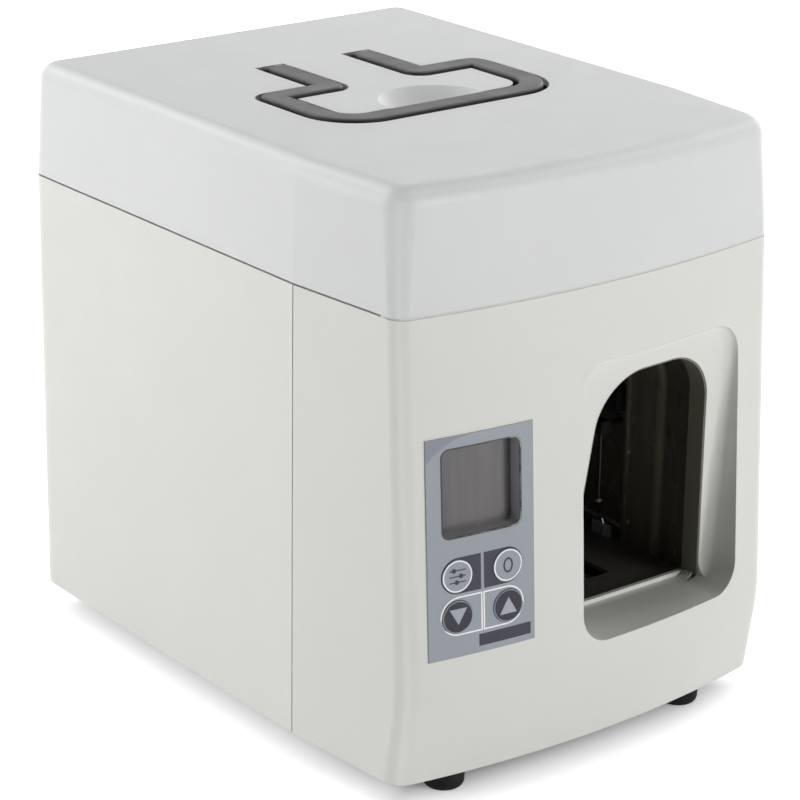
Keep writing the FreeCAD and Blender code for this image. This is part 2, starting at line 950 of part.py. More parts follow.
def hinge_screws(side):
    y = rear_y + leaf_thick
    shapes = []
    for x, z in leaf_screw_places(side):
        head = pin_y(x, y, y + screw_head_thick, z, screw_head)
        shank = pin_y(x, y - screw_length, y, z, screw_shank)
        shapes.append(head.fuse(shank).removeSplitter())
    return group(shapes)


# Carrying handle

handle_low = top_z + handle_rise - handle_thick
handle_high = top_z + handle_rise
handle_width = groove_width - 2 * handle_gap
handle_pivot_y = back(groove_end_setback) - handle_gap - handle_thick / 2
handle_pivot_z = handle_high - handle_thick / 2
tray_floor = handle_low - tray_floor_gap
tray_low = tray_floor - tray_wall


def make_carry_handle():
    bar = groove_form(handle_width, handle_low, handle_high, handle_pivot_y)
    edges = [e for e in on_level(bar, handle_high) if abs(e.CenterOfMass.y - handle_pivot_y) > side_gap]
    bar = bar.makeFillet(handle_edge, edges)
    for x in (-arm_x, arm_x):
        x0, x1 = x - handle_width / 2, x + handle_width / 2
        end = pin_x(x0, x1, handle_pivot_y, handle_pivot_z, handle_thick / 2)
        rims = [e for e in end.Edges if abs(e.Length - math.pi * handle_thick) < over / 6]
        bar = bar.fuse(end.makeFillet(handle_edge / 2, rims))
        bar = bar.cut(pin_x(x0 - over, x1 + over, handle_pivot_y, handle_pivot_z, handle_pin_radius + run_gap))
    return bar.removeSplitter()


def make_handle_tray():
    end_y = back(groove_end_setback)
    tray = groove_form(groove_width + 2 * tray_wall, tray_low, lid_inner_top, end_y + tray_wall)
    tray = tray.cut(groove_form(groove_width, tray_floor, lid_inner_top + over, end_y))
    tray = tray.cut(scoop(lid_wall))
    for x in (-arm_x, arm_x):
        half = groove_width / 2 + tray_wall
        x0, x1 = x - half - over, x + half + over
        tray = tray.cut(pin_x(x0, x1, handle_pivot_y, handle_pivot_z, handle_pin_radius))
    return tray.removeSplitter()


def make_handle_pins():
    half = groove_width / 2 + tray_wall
    return group([pin_x(x - half, x + half, handle_pivot_y, handle_pivot_z, handle_pin_radius)
                  for x in (-arm_x, arm_x)])


# Keypad and display


def make_keypad_overlay():
    sheet = box(pad_left, pad_right, front_from, front_to, at(pad_low), at(pad_high))
    sheet = sheet.cut(display_prism(0))
    for name, x, z in key_places:
        sheet = sheet.cut(pin_y(x, front_from, front_to, z, key_radius + key_clear))
    return layer(sheet, -overlay_thick, 0)


def key(x, z):
    seat = body_wall + run_gap
    cap = layer(pin_y(x, front_from, front_to, z, key_radius), -key_proud, seat + key_flange_thick)
    rim = layer(pin_y(x, front_from, front_to, z, key_radius + key_flange), seat, seat + key_flange_thick)
    return cap.fuse(rim).removeSplitter()


def make_key_switches():
    top = body_wall + run_gap + key_flange_thick + key_travel + switch_gap
    return group([layer(pin_y(x, front_from, front_to, z, switch_radius), top, board_depth)
                  for name, x, z in key_places])


def make_display_bezel():
    return layer(display_prism(bezel_wall), 0, display_depth).cut(display_prism(0))


def make_display_module():
    return layer(display_prism(bezel_wall), display_depth, board_depth)


def make_keypad_board():
    board = box(pad_left + board_margin, pad_right - board_margin, front_from, front_to,
                at(pad_low) + board_margin, at(pad_high) - board_margin)
    return layer(board, board_depth, board_depth + board_thick)


# Arch liner


def make_arch_liner():
    low = at(recess_low)
    band = arch_prism(0, low, front_from, front_to)
    band = band.cut(arch_prism(-liner_wall, low - over, front_from - over, front_to + over))
    band = band.common(recess_space(liner_depth)).common(recess_outline())
    return band.cut(recess_space(liner_sink))


# Mechanism plate

mech_y = back(mech_setback)
mech_back_y = mech_y + mech_thick
floor_top = at(recess_low)
floor_low = floor_top - floor_thick
bay_back_y = back(bay_back_setback)
track_y = back(track_setback)
roller_z_feed = at(feed_z)
pinch_z = roller_z_feed + feed_radius + nip_gap + pinch_radius


def make_mech_plate():
    plate = box(mech_left, mech_right, mech_y, mech_back_y, plate_high, at(mech_top))
    foot = box(mech_left, mech_right, mech_y, mech_y + mech_flange, plate_high, plate_high + mech_thick)
    plate = joined(plate, [foot])
    hole = arch_wire(hole_half, 0, at(hole_top), floor_low, mech_y - over)
    plate = plate.cut(Part.Face(hole).extrude(Vector(0, mech_thick + 2 * over, 0)))
    shaft_hole = roller_shaft_radius + side_gap
    plate = plate.cut(pin_y(nip_x, mech_y - over, mech_back_y + over, roller_z_feed, shaft_hole))
    plate = plate.cut(pin_y(nip_x, mech_y - over, mech_back_y + over, pinch_z, roller_shaft_radius))
    plate = plate.cut(pin_y(idler_x, mech_y - over, mech_back_y + over, at(idler_z), roller_shaft_radius))
    plate = plate.cut(pin_y(reel_x, mech_y - over, mech_back_y + over, at(reel_z), reel_shaft_radius))
    return plate.removeSplitter()


# Bay


def make_bay_floor():
    floor = box(bay_left, bay_right, sill_y + bay_clear, bay_back_y, floor_low, floor_top)
    slot = box(seal_x - seal_half - slot_clear, seal_x + seal_half + slot_clear,
               back(seal_front) - slot_clear, back(seal_back) + slot_clear, floor_low - over, floor_top + over)
    return floor.cut(slot)


def bay_wall(x0):
    return box(x0, x0 + bay_wall_thick, mech_back_y, bay_back_y, floor_top, at(bay_wall_top))


def make_bay_wall_left():
    wall = bay_wall(bay_left)
    rod_hole = clamp_rod_radius + clamp_pass_gap
    for z in (clamp_rod_low, clamp_rod_high):
        wall = wall.cut(pin_x(bay_left - over, bay_left + over, back(clamp_axis_setback), at(z), rod_hole))
    return wall.cut(pin_x(bay_left - over, bay_left + over, back(clamp_axis_setback), at(clamp_axis_z),
                          clamp_screw_radius + clamp_pass_gap))


def make_bay_wall_right():
    wall = bay_wall(bay_right - bay_wall_thick)
    return wall.cut(pin_x(bay_right - over, bay_right + over, sensor_y, sensor_z, sensor_pin_radius + run_gap))


def make_back_stop():
    stop = box(bay_left, bay_right, bay_back_y, bay_back_y + stop_thick, plate_high, at(stop_top))
    foot = box(bay_left, bay_right, bay_back_y, bay_back_y + mech_flange / 2, plate_high, plate_high + stop_thick)
    rest = box(bay_left, bay_right, bay_back_y - floor_thick, bay_back_y, floor_low - floor_thick, floor_low)
    return joined(stop, [foot, rest])


# Tape track


def make_tape_track():
    y1 = mech_y
    hood_y = back(hood_setback)
    outer = arch_prism(0, floor_top, hood_y, y1, track_half + track_thick, 0, track_top + track_thick)
    inner = arch_prism(0, floor_top - over, hood_y - over, y1 + over, track_half, 0, track_top)
    channel = arch_prism(0, floor_top - over, track_y + track_rim, y1 - track_rim,
                         track_half + track_groove_depth, 0, track_top + track_groove_depth)
    track = outer.cut(inner).cut(channel)
    gate = box(arch_x - track_half * 2, arch_x - track_half + over, track_y + track_rim, y1 - track_rim,
               floor_top - over, at(tape_gate_high))
    return track.cut(gate)


# Tape reel

reel_y1 = mech_y - roller_end - run_gap
hub_flange_y = reel_y1 - reel_flange_thick
roll_y1 = hub_flange_y
roll_y0 = roll_y1 - roll_width
hub_y0 = roll_y0 - roll_gap


def make_reel_shaft():
    z = at(reel_z)
    shaft = pin_y(reel_x, hub_y0 - side_gap - reel_cap_thick, mech_back_y, z, reel_shaft_radius)
    shoulder = pin_y(reel_x, mech_y - roller_end, mech_y, z, reel_shaft_radius * 2)
    return joined(shaft, [shoulder])


def make_reel_hub():
    z = at(reel_z)
    hub = pin_y(reel_x, hub_y0, hub_flange_y, z, reel_core_radius)
    flange = pin_y(reel_x, hub_flange_y, reel_y1, z, reel_flange_radius)
    r = (reel_core_radius + reel_flange_radius) / 2
    hole_radius = (reel_flange_radius - reel_core_radius) * hub_hole_share
    for k in range(3):
        a = 2 * math.pi * k / 3
        hole_x, hole_z = reel_x + r * math.cos(a), z + r * math.sin(a)
        hole = pin_y(hole_x, hub_flange_y - over, reel_y1 + over, hole_z, hole_radius)
        flange = flange.cut(hole)
    hub = joined(hub, [flange])
    return hub.cut(pin_y(reel_x, hub_y0 - over, reel_y1 + over, z, reel_shaft_radius + run_gap))


def make_tape_roll():
    z = at(reel_z)
    roll = pin_y(reel_x, roll_y0, roll_y1, z, roll_radius)
    return roll.cut(pin_y(reel_x, roll_y0 - over, roll_y1 + over, z, reel_core_radius))


def make_reel_cap():
    z = at(reel_z)
    y1 = hub_y0 - side_gap
    cap = pin_y(reel_x, y1 - reel_cap_thick, y1, z, reel_cap_radius)
    return cap.cut(pin_y(reel_x, y1 - reel_cap_thick - over, y1 + over, z, reel_shaft_radius))


# Tape rollers and feed motor

roller_y0 = track_y + roller_end
roller_y1 = mech_y - roller_end


def make_feed_roller():
    drum = pin_y(nip_x, roller_y0, roller_y1, roller_z_feed, feed_radius)
    shaft = pin_y(nip_x, roller_y1, mech_back_y + motor_length / 2, roller_z_feed, roller_shaft_radius)
    return joined(drum, [shaft])


def loose_roller(x, z, r):
    drum = pin_y(x, roller_y0, roller_y1 - run_gap, z, r)
    return drum.cut(pin_y(x, roller_y0 - over, roller_y1 + over, z, roller_shaft_radius + run_gap))


def roller_shaft(x, z):
    shaft = pin_y(x, roller_y0 - roller_end * 2, mech_back_y, z, roller_shaft_radius)
    shoulder = pin_y(x, roller_y1, mech_y, z, roller_shaft_radius * shaft_collar_share)
    head = pin_y(x, roller_y0 - roller_end * 2, roller_y0 - run_gap, z, roller_shaft_radius * shaft_collar_share)
    return joined(shaft, [shoulder, head])


def motor_block(x, z, y0):
    block = round_panel(x - motor_side / 2, x + motor_side / 2, z - motor_side / 2, z + motor_side / 2,
                        motor_corner, y0, y0 + motor_length)
    return block.cut(pin_y(x, y0 - over, y0 + motor_length / 2 + side_gap, z, roller_shaft_radius + run_gap))


def make_feed_motor():
    return motor_block(nip_x, roller_z_feed, mech_back_y)


# Clamp

clamp_y = back(clamp_axis_setback)
pad_x1 = bay_left + bay_wall_thick + clamp_pad_gap + clamp_pad_thick
pad_x0 = pad_x1 - clamp_pad_thick
rod_x0 = body_wall - side_x + clamp_rod_gap


def make_clamp_pad():
    plate = box(pad_x0, pad_x1, back(clamp_pad_front), back(clamp_pad_back),
                at(clamp_pad_low), at(clamp_pad_high))
    edges = [e for e in plate.Edges if abs(e.Length - clamp_pad_thick) < side_gap / 4]
    return plate.makeFillet(motor_corner, edges)


def make_clamp_rods():
    return group([pin_x(rod_x0, pad_x0, clamp_y, at(z), clamp_rod_radius)
                  for z in (clamp_rod_low, clamp_rod_high)])


def make_clamp_screw():
    return pin_x(rod_x0, pad_x0, clamp_y, at(clamp_axis_z), clamp_screw_radius)


def make_clamp_bracket():
    x1 = bracket_x + bracket_thick
    plate = box(bracket_x, x1, mech_back_y, back(bracket_back), at(bracket_low), at(bracket_high))
    foot = box(bracket_x, bracket_x + bracket_foot, mech_back_y, mech_back_y + bracket_thick,
               at(bracket_low), at(bracket_high))
    plate = joined(plate, [foot])
    for z in (clamp_rod_low, clamp_rod_high):
        plate = plate.cut(pin_x(bracket_x - over, x1 + over, clamp_y, at(z), clamp_rod_radius + run_gap))
    screw_hole = clamp_screw_radius + clamp_pass_gap
    return plate.cut(pin_x(bracket_x - over, x1 + over, clamp_y, at(clamp_axis_z), screw_hole))


def make_clamp_actuator():
    x1 = bracket_x
    half = motor_side / 2
    z = at(clamp_axis_z)
    block = box(x1 - motor_length, x1, clamp_y - half, clamp_y + half, z - half, z + half)
    edges = [e for e in block.Edges if abs(e.Length - motor_length) < side_gap / 4]
    block = block.makeFillet(motor_corner, edges)
    return block.cut(pin_x(x1 - motor_length - over, x1 + over, clamp_y, z, clamp_screw_radius + run_gap))


# Seal head

seal_y = back((seal_front + seal_back) / 2)


def make_solenoid():
    body = box(seal_x - solenoid_half, seal_x + solenoid_half, seal_y - solenoid_half, seal_y + solenoid_half,
               plate_high, at(solenoid_top))
    bore = plunger_radius + run_gap
    return body.cut(pin_z(seal_x, seal_y, plate_high + over / 2, at(solenoid_top) + over, bore))


def make_seal_holder():
    z1 = at(heater_high) - heater_thick
    holder = box(seal_x - seal_half, seal_x + seal_half, back(seal_front), back(seal_back), z1 - holder_thick, z1)
    plunger = pin_z(seal_x, seal_y, at(solenoid_top) / 2, z1 - holder_thick, plunger_radius)
    return joined(holder, [plunger])


def make_heater():
    z1 = at(heater_high)
    return box(seal_x - seal_half, seal_x + blade_offset - blade_thick / 2, back(seal_front), back(seal_back),
               z1 - heater_thick, z1)


def make_cutter_blade():
    x0 = seal_x + blade_offset + blade_thick / 2
    z0 = at(heater_high) - heater_thick
    blade = box(x0, x0 + blade_thick, back(seal_front), back(seal_back), z0, at(heater_high) + blade_rise)
    top = [e for e in on_level(blade, at(heater_high) + blade_rise) if abs(e.CenterOfMass.x - x0) < side_gap / 8]
    return blade.makeChamfer(blade_thick * blade_edge_share, top)


# Sensing lever

sensor_y = back(post_setback)
sensor_z = at(post_high)


def make_sense_lever():
    knob = box(post_x - knob_half, post_x + knob_half, sensor_y - knob_half, sensor_y + knob_half,
               sensor_z - knob_half, sensor_z + knob_half)
    rod = pin_z(post_x, sensor_y, at(post_low), sensor_z, post_radius)
    ball = Part.makeSphere(ball_radius, Vector(post_x, sensor_y, at(post_low)))
    trunnion = pin_x(post_x, bay_right - bay_wall_thick / 4, sensor_y, sensor_z, sensor_pin_radius)
    return joined(knob, [rod, ball, trunnion])


def make_sensor_switch():
    x1 = bay_right - bay_wall_thick
    z0 = sensor_z + knob_half * 2
    return box(x1 - sensor_switch_wide, x1, sensor_y - knob_half, sensor_y - knob_half + sensor_switch_length,
               z0, z0 + sensor_switch_high)


# Power and electronics


def make_transformer_core():
    core = box(trans_left, trans_right, back(trans_front), back(trans_back), plate_high, at(trans_high))
    x0, x1 = trans_left + coil_margin, trans_right - coil_margin
    y0, y1 = back(trans_front), back(trans_back)
    z0, z1 = plate_high + coil_margin, at(trans_high) - coil_margin
    return core.cut(box(x0, x1, y0 - over, y1 + over, z0, z1))


def make_transformer_coil():
    x0, x1 = trans_left + coil_margin, trans_right - coil_margin
    z0, z1 = plate_high + coil_margin, at(trans_high) - coil_margin
    coil = box(x0, x1, back(trans_front) - coil_bulge, back(trans_back) + coil_bulge, z0, z1)
    edges = [e for e in coil.Edges if abs(e.Length - (z1 - z0)) < side_gap / 4]
    return coil.makeFillet(coil_bulge / 2, edges)


standoff_places = [(x, y) for x in (main_left + standoff_margin, main_right - standoff_margin)
                   for y in (back(main_front) + standoff_margin, back(main_back) - standoff_margin)]
board_low = plate_high + standoff_height
board_high = board_low + board_thick


def make_standoffs():
    return group([pin_z(x, y, plate_high, board_low, standoff_radius) for x, y in standoff_places])


def make_main_board():
    board = box(main_left, main_right, back(main_front), back(main_back), board_low, board_high)
    for x, y in standoff_places:
        board = board.cut(pin_z(x, y, board_low - over, board_high + over, screw_shank))
    return board


def make_board_parts():
    x0 = main_left + standoff_margin * 3
    y0 = back(main_front) + standoff_margin * 3
    step = chip_side + standoff_margin
    chip = box(x0, x0 + chip_side, y0, y0 + chip_side, board_high, board_high + chip_thick)
    relay = box(x0, x0 + relay_side, y0 + step, y0 + step + relay_side, board_high, board_high + relay_height)
    can_x = x0 + step + cap_radius
    can_y = y0 + cap_radius
    can_top = board_high + cap_height
    cans = [pin_z(can_x, can_y + k * step * cap_pitch_share, board_high, can_top, cap_radius) for k in range(2)]
    return group([chip, relay] + cans)


def make_power_inlet():
    z = at(inlet_z)
    w, h = inlet_width / 2, inlet_height / 2
    body = box(inlet_x - w, inlet_x + w, rear_y - inlet_body_depth, rear_y, z - h, z + h)
    rim = box(inlet_x - w - inlet_flange, inlet_x + w + inlet_flange, rear_y, rear_y + inlet_flange_thick,
              z - h - inlet_flange, z + h + inlet_flange)
    shape = joined(body, [rim])
    shape = shape.cut(box(inlet_x - w + inlet_wall, inlet_x + w - inlet_wall, rear_y - inlet_pocket, rear_y + far,
                          z - h + inlet_wall, z + h - inlet_wall))
    for k in (-1, 0, 1):
        x = inlet_x + k * inlet_pin_pitch
        lift = inlet_pin_lift if k == 0 else -inlet_pin_lift
        z0, z1 = z + lift - inlet_pin_height / 2, z + lift + inlet_pin_height / 2
        shape = shape.fuse(box(x - inlet_pin_width / 2, x + inlet_pin_width / 2,
                               rear_y - inlet_pocket - inlet_wall, rear_y - inlet_wall, z0, z1))
    return shape.removeSplitter()


rocker_y = rear_y - rocker_axis_depth
rocker_z = at(inlet_z)


def make_rocker_frame():
    w, h = rocker_width / 2, rocker_height / 2
    wall = rocker_frame_wall
    body = box(rocker_x - w - wall, rocker_x + w + wall, rear_y - rocker_body_depth, rear_y,
               rocker_z - h - wall, rocker_z + h + wall)
    rim = box(rocker_x - w - 2 * wall, rocker_x + w + 2 * wall, rear_y, rear_y + wall,
              rocker_z - h - 2 * wall, rocker_z + h + 2 * wall)
    frame = joined(body, [rim])
    frame = frame.cut(box(rocker_x - w, rocker_x + w, rear_y - rocker_body_depth + wall, rear_y + far,
                          rocker_z - h, rocker_z + h))
    reach = rocker_width / 2 + rocker_frame_wall / 2 + run_gap
    return frame.cut(pin_x(rocker_x - reach, rocker_x + reach, rocker_y, rocker_z, rocker_pin_radius + run_gap))


def make_rocker():
    """See-saw key: two flat halves that meet at a shallow angle."""
    w = rocker_width / 2 - rocker_gap
    h = rocker_height / 2 - 2 * rocker_gap
    a = math.radians(rocker_swing)
    y_mid = rocker_y + rocker_axis_depth
    y_end = y_mid + h * math.tan(a)
    y_low = rocker_y - rocker_axis_depth
    y_side = rocker_y - rocker_axis_depth / 3
    rise = h * rocker_end_share
    profile = [(y_mid, 0), (y_end, h), (y_side, rise), (y_low, 0), (y_side, -rise), (y_end, -h)]
    points = [Vector(rocker_x - w, y, rocker_z + up) for y, up in profile]
    key_solid = Part.Face(Part.makePolygon(points + [points[0]])).extrude(Vector(2 * w, 0, 0))
    key_solid.rotate(Vector(rocker_x, rocker_y, rocker_z), Vector(1, 0, 0), -rocker_swing)
    for side in (-1, 1):
        x0 = rocker_x + side * (w - rocker_gap)
        x1 = rocker_x + side * (rocker_width / 2 + rocker_frame_wall / 2)
        key_solid = key_solid.fuse(pin_x(min(x0, x1), max(x0, x1), rocker_y, rocker_z, rocker_pin_radius))
    return key_solid.removeSplitter()


# All parts

save("front_shell", make_front_shell())
save("rear_cover", make_rear_cover())
save("base_plate", make_base_plate())
save("rubber_feet", make_feet())
save("foot_screws", make_foot_screws())
save("base_screws", make_base_screws())
save("top_lid", make_top_lid())
save("hinge_body_leaves", make_hinge_body_leaves())
save("hinge_lid_leaves", make_hinge_lid_leaves())
save("hinge_pins", make_hinge_pins())
save("hinge_body_screws", hinge_screws(-1))
save("hinge_lid_screws", hinge_screws(1))
save("catch_magnets", make_catch_magnets())
save("catch_plates", make_catch_plates())
save("carry_handle", make_carry_handle())
save("handle_tray", make_handle_tray())
save("handle_pins", make_handle_pins())
save("keypad_overlay", make_keypad_overlay())
for name, x, z in key_places:
    save(name, key(x, z))
save("key_switches", make_key_switches())
save("keypad_board", make_keypad_board())
save("display_bezel", make_display_bezel())
save("display_module", make_display_module())
save("arch_liner", make_arch_liner())
save("mech_plate", make_mech_plate())
save("bay_floor", make_bay_floor())
save("bay_wall_left", make_bay_wall_left())
save("bay_wall_right", make_bay_wall_right())
save("back_stop", make_back_stop())
save("tape_track", make_tape_track())
save("reel_shaft", make_reel_shaft())
save("reel_hub", make_reel_hub())
save("tape_roll", make_tape_roll())
save("reel_cap", make_reel_cap())
save("feed_roller", make_feed_roller())
save("feed_motor", make_feed_motor())
save("pinch_roller", loose_roller(nip_x, pinch_z, pinch_radius))
save("idler_roller", loose_roller(idler_x, at(idler_z), idler_radius))
save("roller_shafts", group([roller_shaft(nip_x, pinch_z), roller_shaft(idler_x, at(idler_z))]))
save("clamp_pad", make_clamp_pad())
save("clamp_rods", make_clamp_rods())
save("clamp_screw", make_clamp_screw())
save("clamp_bracket", make_clamp_bracket())
save("clamp_actuator", make_clamp_actuator())
save("solenoid", make_solenoid())
save("seal_holder", make_seal_holder())
save("heater", make_heater())
save("cutter_blade", make_cutter_blade())
save("sense_lever", make_sense_lever())
save("sensor_switch", make_sensor_switch())
save("transformer", group([make_transformer_core(), make_transformer_coil()]))
save("main_board", make_main_board())
save("board_parts", make_board_parts())
save("standoffs", make_standoffs())
save("power_inlet", make_power_inlet())
save("rocker_frame", make_rocker_frame())
save("rocker", make_rocker())
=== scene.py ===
import math

import bmesh
import bpy
from mathutils import Matrix, Vector
from mathutils.bvhtree import BVHTree


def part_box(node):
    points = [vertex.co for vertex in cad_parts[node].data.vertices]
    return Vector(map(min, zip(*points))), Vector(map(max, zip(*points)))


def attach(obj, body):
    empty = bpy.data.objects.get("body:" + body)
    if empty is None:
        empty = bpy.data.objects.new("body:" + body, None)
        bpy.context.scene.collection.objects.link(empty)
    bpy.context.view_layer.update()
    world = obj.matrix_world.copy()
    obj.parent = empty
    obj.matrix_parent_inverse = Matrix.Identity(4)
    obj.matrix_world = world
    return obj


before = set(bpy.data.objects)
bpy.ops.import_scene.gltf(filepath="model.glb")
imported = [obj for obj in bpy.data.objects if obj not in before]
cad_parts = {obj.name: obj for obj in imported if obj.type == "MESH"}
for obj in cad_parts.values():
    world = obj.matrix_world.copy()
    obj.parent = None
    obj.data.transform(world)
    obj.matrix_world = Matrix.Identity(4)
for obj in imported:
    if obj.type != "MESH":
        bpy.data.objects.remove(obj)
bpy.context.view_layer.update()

MM = 0.001

# Where the part's own corner plane and underside lie in the shared frame
CORNER_Y = -0.117301
BODY_LOW = 0.012


def box_mm(node):
    """Lowest and highest corner of a node, in mm."""
    low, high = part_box(node)
    return low / MM, high / MM


def middle(node):
    low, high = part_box(node)
    return (low + high) / 2


def srgb(r, g, b):
    """Colour given as 0 to 255, as seen on a screen."""
    out = []
    for v in (r, g, b):
        c = v / 255
        out.append(c / 12.92 if c <= 0.04045 else ((c + 0.055) / 1.055) ** 2.4)
    return (out[0], out[1], out[2], 1.0)


def mix_colour(a, b, t):
    return tuple(a[i] * (1 - t) + b[i] * t for i in range(4))


def darker(colour, share):
    return mix_colour(colour, (0, 0, 0, 1), share)


# Materials

# Relief of the surfaces: grain of mouldings, fine lines of metal and film, rubber and board, printed film,
# ribs of the guide, core sheets, wound paper and screw thread
GRAIN, GRAIN_DEPTH = 2200.0, 0.02 * MM
FINE, FINE_DEPTH = 900.0, 0.01 * MM
COARSE_DEPTH = 0.03 * MM
PEBBLE_DEPTH = 0.012 * MM
RIB_DEPTH = 0.2 * MM
SHEET_DEPTH = 0.08 * MM
WOUND_DEPTH = 0.05 * MM
THREAD_PITCH, THREAD_DEPTH = 1.25 * MM, 0.35 * MM
# Painted highlight: how much lighter the rounded edges of the casing are painted, and the range of directions
# that counts as an edge
EDGE_PAINTED_HIGHLIGHT, EDGE_RADIUS = 1.15, 0.35 * MM
PAINTED_HIGHLIGHT_SPAN = (0.97, 0.75)
# How far the wound coil stands out of the transformer's core
COIL_OUT, CORE_MARGIN = 7.0 * MM, 0.02 * MM
# Bright tip of the sensing lever, and the stretch over which it fades
TIP_TALL, TIP_FADE = 1.4 * MM, 1.0 * MM
# Share of the guide's depth from its front edge, and lightness of the painted reflections and shade there
GUIDE_PAINTED_LIGHT_BANDS = ((0.0, 0.10), (0.40, 0.10), (0.44, 0.55), (0.465, 0.95), (0.55, 0.90), (0.60, 0.42),
               (0.74, 0.52), (0.88, 0.42), (1.0, 0.45))


class Nodes:
    """Short way to write a node tree."""

    def __init__(self, name):
        self.material = bpy.data.materials.new(name)
        self.material.use_nodes = True
        self.tree = self.material.node_tree
        self.shader = self.tree.nodes["Principled BSDF"]
        self.place = self.new("ShaderNodeTexCoord").outputs["Object"]

    def new(self, kind, **values):
        node = self.tree.nodes.new(kind)
        for key, value in values.items():
            setattr(node, key, value)
        return node

    def link(self, a, b):
        self.tree.links.new(a, b)

    def noise(self, scale, detail=2.0, rough=0.5, stretch=None):
        node = self.new("ShaderNodeTexNoise")
        node.inputs["Scale"].default_value = scale
        node.inputs["Detail"].default_value = detail
        node.inputs["Roughness"].default_value = rough
        source = self.place
        if stretch:
            mapping = self.new("ShaderNodeMapping")
            mapping.inputs["Scale"].default_value = stretch
            self.link(source, mapping.inputs["Vector"])
            source = mapping.outputs["Vector"]
        self.link(source, node.inputs["Vector"])
        return node.outputs["Fac"]

    def bands(self, direction, scale, distortion=0.0):
        """Even stripes across one axis."""
        node = self.new("ShaderNodeTexWave", wave_type="BANDS", bands_direction=direction)
        node.inputs["Scale"].default_value = scale
        node.inputs["Distortion"].default_value = distortion
        self.link(self.place, node.inputs["Vector"])
        return node.outputs["Fac"]

    def span(self, value, low, high, from_low=0.3, from_high=0.7):
        node = self.new("ShaderNodeMapRange")
        node.inputs["From Min"].default_value = from_low
        node.inputs["From Max"].default_value = from_high
        node.inputs["To Min"].default_value = low
        node.inputs["To Max"].default_value = high
        self.link(value, node.inputs["Value"])
        return node.outputs["Result"]

    def maths(self, operation, a, b=0.0):
        node = self.new("ShaderNodeMath", operation=operation)
        for socket, value in zip(node.inputs, (a, b)):
            if isinstance(value, float):
                socket.default_value = value
            else:
                self.link(value, socket)
        return node.outputs[0]

    def axes(self, source=None):
        """The three coordinates of a place or a direction."""
        split = self.new("ShaderNodeSeparateXYZ")
        self.link(self.place if source is None else source, split.inputs[0])
        return split.outputs

    def facing(self):
        """The three coordinates of the surface's outward direction."""
        return self.axes(self.new("ShaderNodeNewGeometry").outputs["Normal"])

    def edge(self):
        """Mask of the painted edge highlight: one where the surface turns halfway between two axes, nought
        along any of them.
        """
        facing = self.facing()
        x, y, z = (self.maths("ABSOLUTE", facing[axis]) for axis in "XYZ")
        most = self.maths("MAXIMUM", x, self.maths("MAXIMUM", y, z))
        return self.span(most, 0.0, 1.0, *PAINTED_HIGHLIGHT_SPAN)

    def ramp(self, value, stops):
        """Grey level read off a list of places and levels."""
        first, last = stops[0][0], stops[-1][0]
        node = self.new("ShaderNodeValToRGB")
        elements = node.color_ramp.elements
        while len(elements) < len(stops):
            elements.new(0.5)
        for element, (place, level) in zip(elements, stops):
            element.position = (place - first) / (last - first)
            element.color = (level, level, level, 1.0)
        self.link(self.span(value, 0, 1, first, last), node.inputs["Fac"])
        return node.outputs["Color"]

    def blend(self, factor, a, b):
        node = self.new("ShaderNodeMix", data_type="RGBA")
        self.link(factor, node.inputs["Factor"])
        for value, socket in ((a, node.inputs["A"]), (b, node.inputs["B"])):
            if isinstance(value, tuple):
                socket.default_value = value
            else:
                self.link(value, socket)
        return node.outputs["Result"]

    def bump(self, height, strength, distance, after=None, bevel=0.0):
        node = self.new("ShaderNodeBump")
        node.inputs["Strength"].default_value = strength
        node.inputs["Distance"].default_value = distance
        self.link(height, node.inputs["Height"])
        if after is not None:
            self.link(after, node.inputs["Normal"])
        elif bevel:
            edge = self.new("ShaderNodeBevel", samples=4)
            edge.inputs["Radius"].default_value = bevel
            self.link(edge.outputs["Normal"], node.inputs["Normal"])
        return node.outputs["Normal"]


def moulded(name, colour, rough=(0.38, 0.5), tint=0.03, bevel=0.0, specular=0.4, lift=0.0):
    """Moulded plastic: fine grain, slow tone change, roughness that varies, and rounded edges painted lighter
    as a painted highlight.
    """
    n = Nodes(name)
    dark = darker(colour, tint)
    slow = n.span(n.noise(14.0, 3.0), 0, 1)
    fine = n.span(n.noise(420.0, 2.0), 0, 1)
    tone = n.blend(slow, colour, dark)
    cloud = n.span(n.noise(95.0, 5.0), 0, 1, 0.35, 0.8)
    base = n.blend(cloud, tone, mix_colour(colour, dark, 0.6))
    # Painted highlight: rounded edges get a lighter colour whatever the light.
    if lift:
        base = n.blend(n.edge(), base, tuple(lift * c for c in colour[:3]) + (1.0,))
    n.link(base, n.shader.inputs["Base Color"])
    n.link(n.span(n.noise(55.0, 4.0), rough[0], rough[1]), n.shader.inputs["Roughness"])
    n.shader.inputs["Specular IOR Level"].default_value = specular
    first = n.bump(n.noise(GRAIN, 2.0, 0.6), 0.35, GRAIN_DEPTH, bevel=bevel)
    n.link(n.bump(fine, 0.12, GRAIN_DEPTH, after=first), n.shader.inputs["Normal"])
    return n.material


def smoked_wall(name, dark, light, stops):
    """Smoked plastic guide: upright ribs, painted reflections and shade in bands that follow its depth,
    painted shade towards the bottom, faint scuffs.
    """
    n = Nodes(name)
    place = n.axes()
    # Painted reflections and shade: the same bands set the lightness and the ribs, dimmed towards the bottom.
    bands = n.ramp(place["Y"], stops)
    height = n.span(place["Z"], 0.35, 1.0, 0.05, 0.15)
    base = n.blend(n.maths("MULTIPLY", bands, height), dark, light)
    cloud = n.span(n.noise(60.0, 4.0, 0.6, (1.0, 1.0, 0.12)), 0, 0.5)
    n.link(n.blend(cloud, base, darker(dark, 0.4)), n.shader.inputs["Base Color"])
    n.link(n.span(n.noise(120.0, 4.0, 0.6, (1.0, 1.0, 0.2)), 0.2, 0.38), n.shader.inputs["Roughness"])
    n.link(n.bump(bands, 0.3, RIB_DEPTH), n.shader.inputs["Normal"])
    return n.material


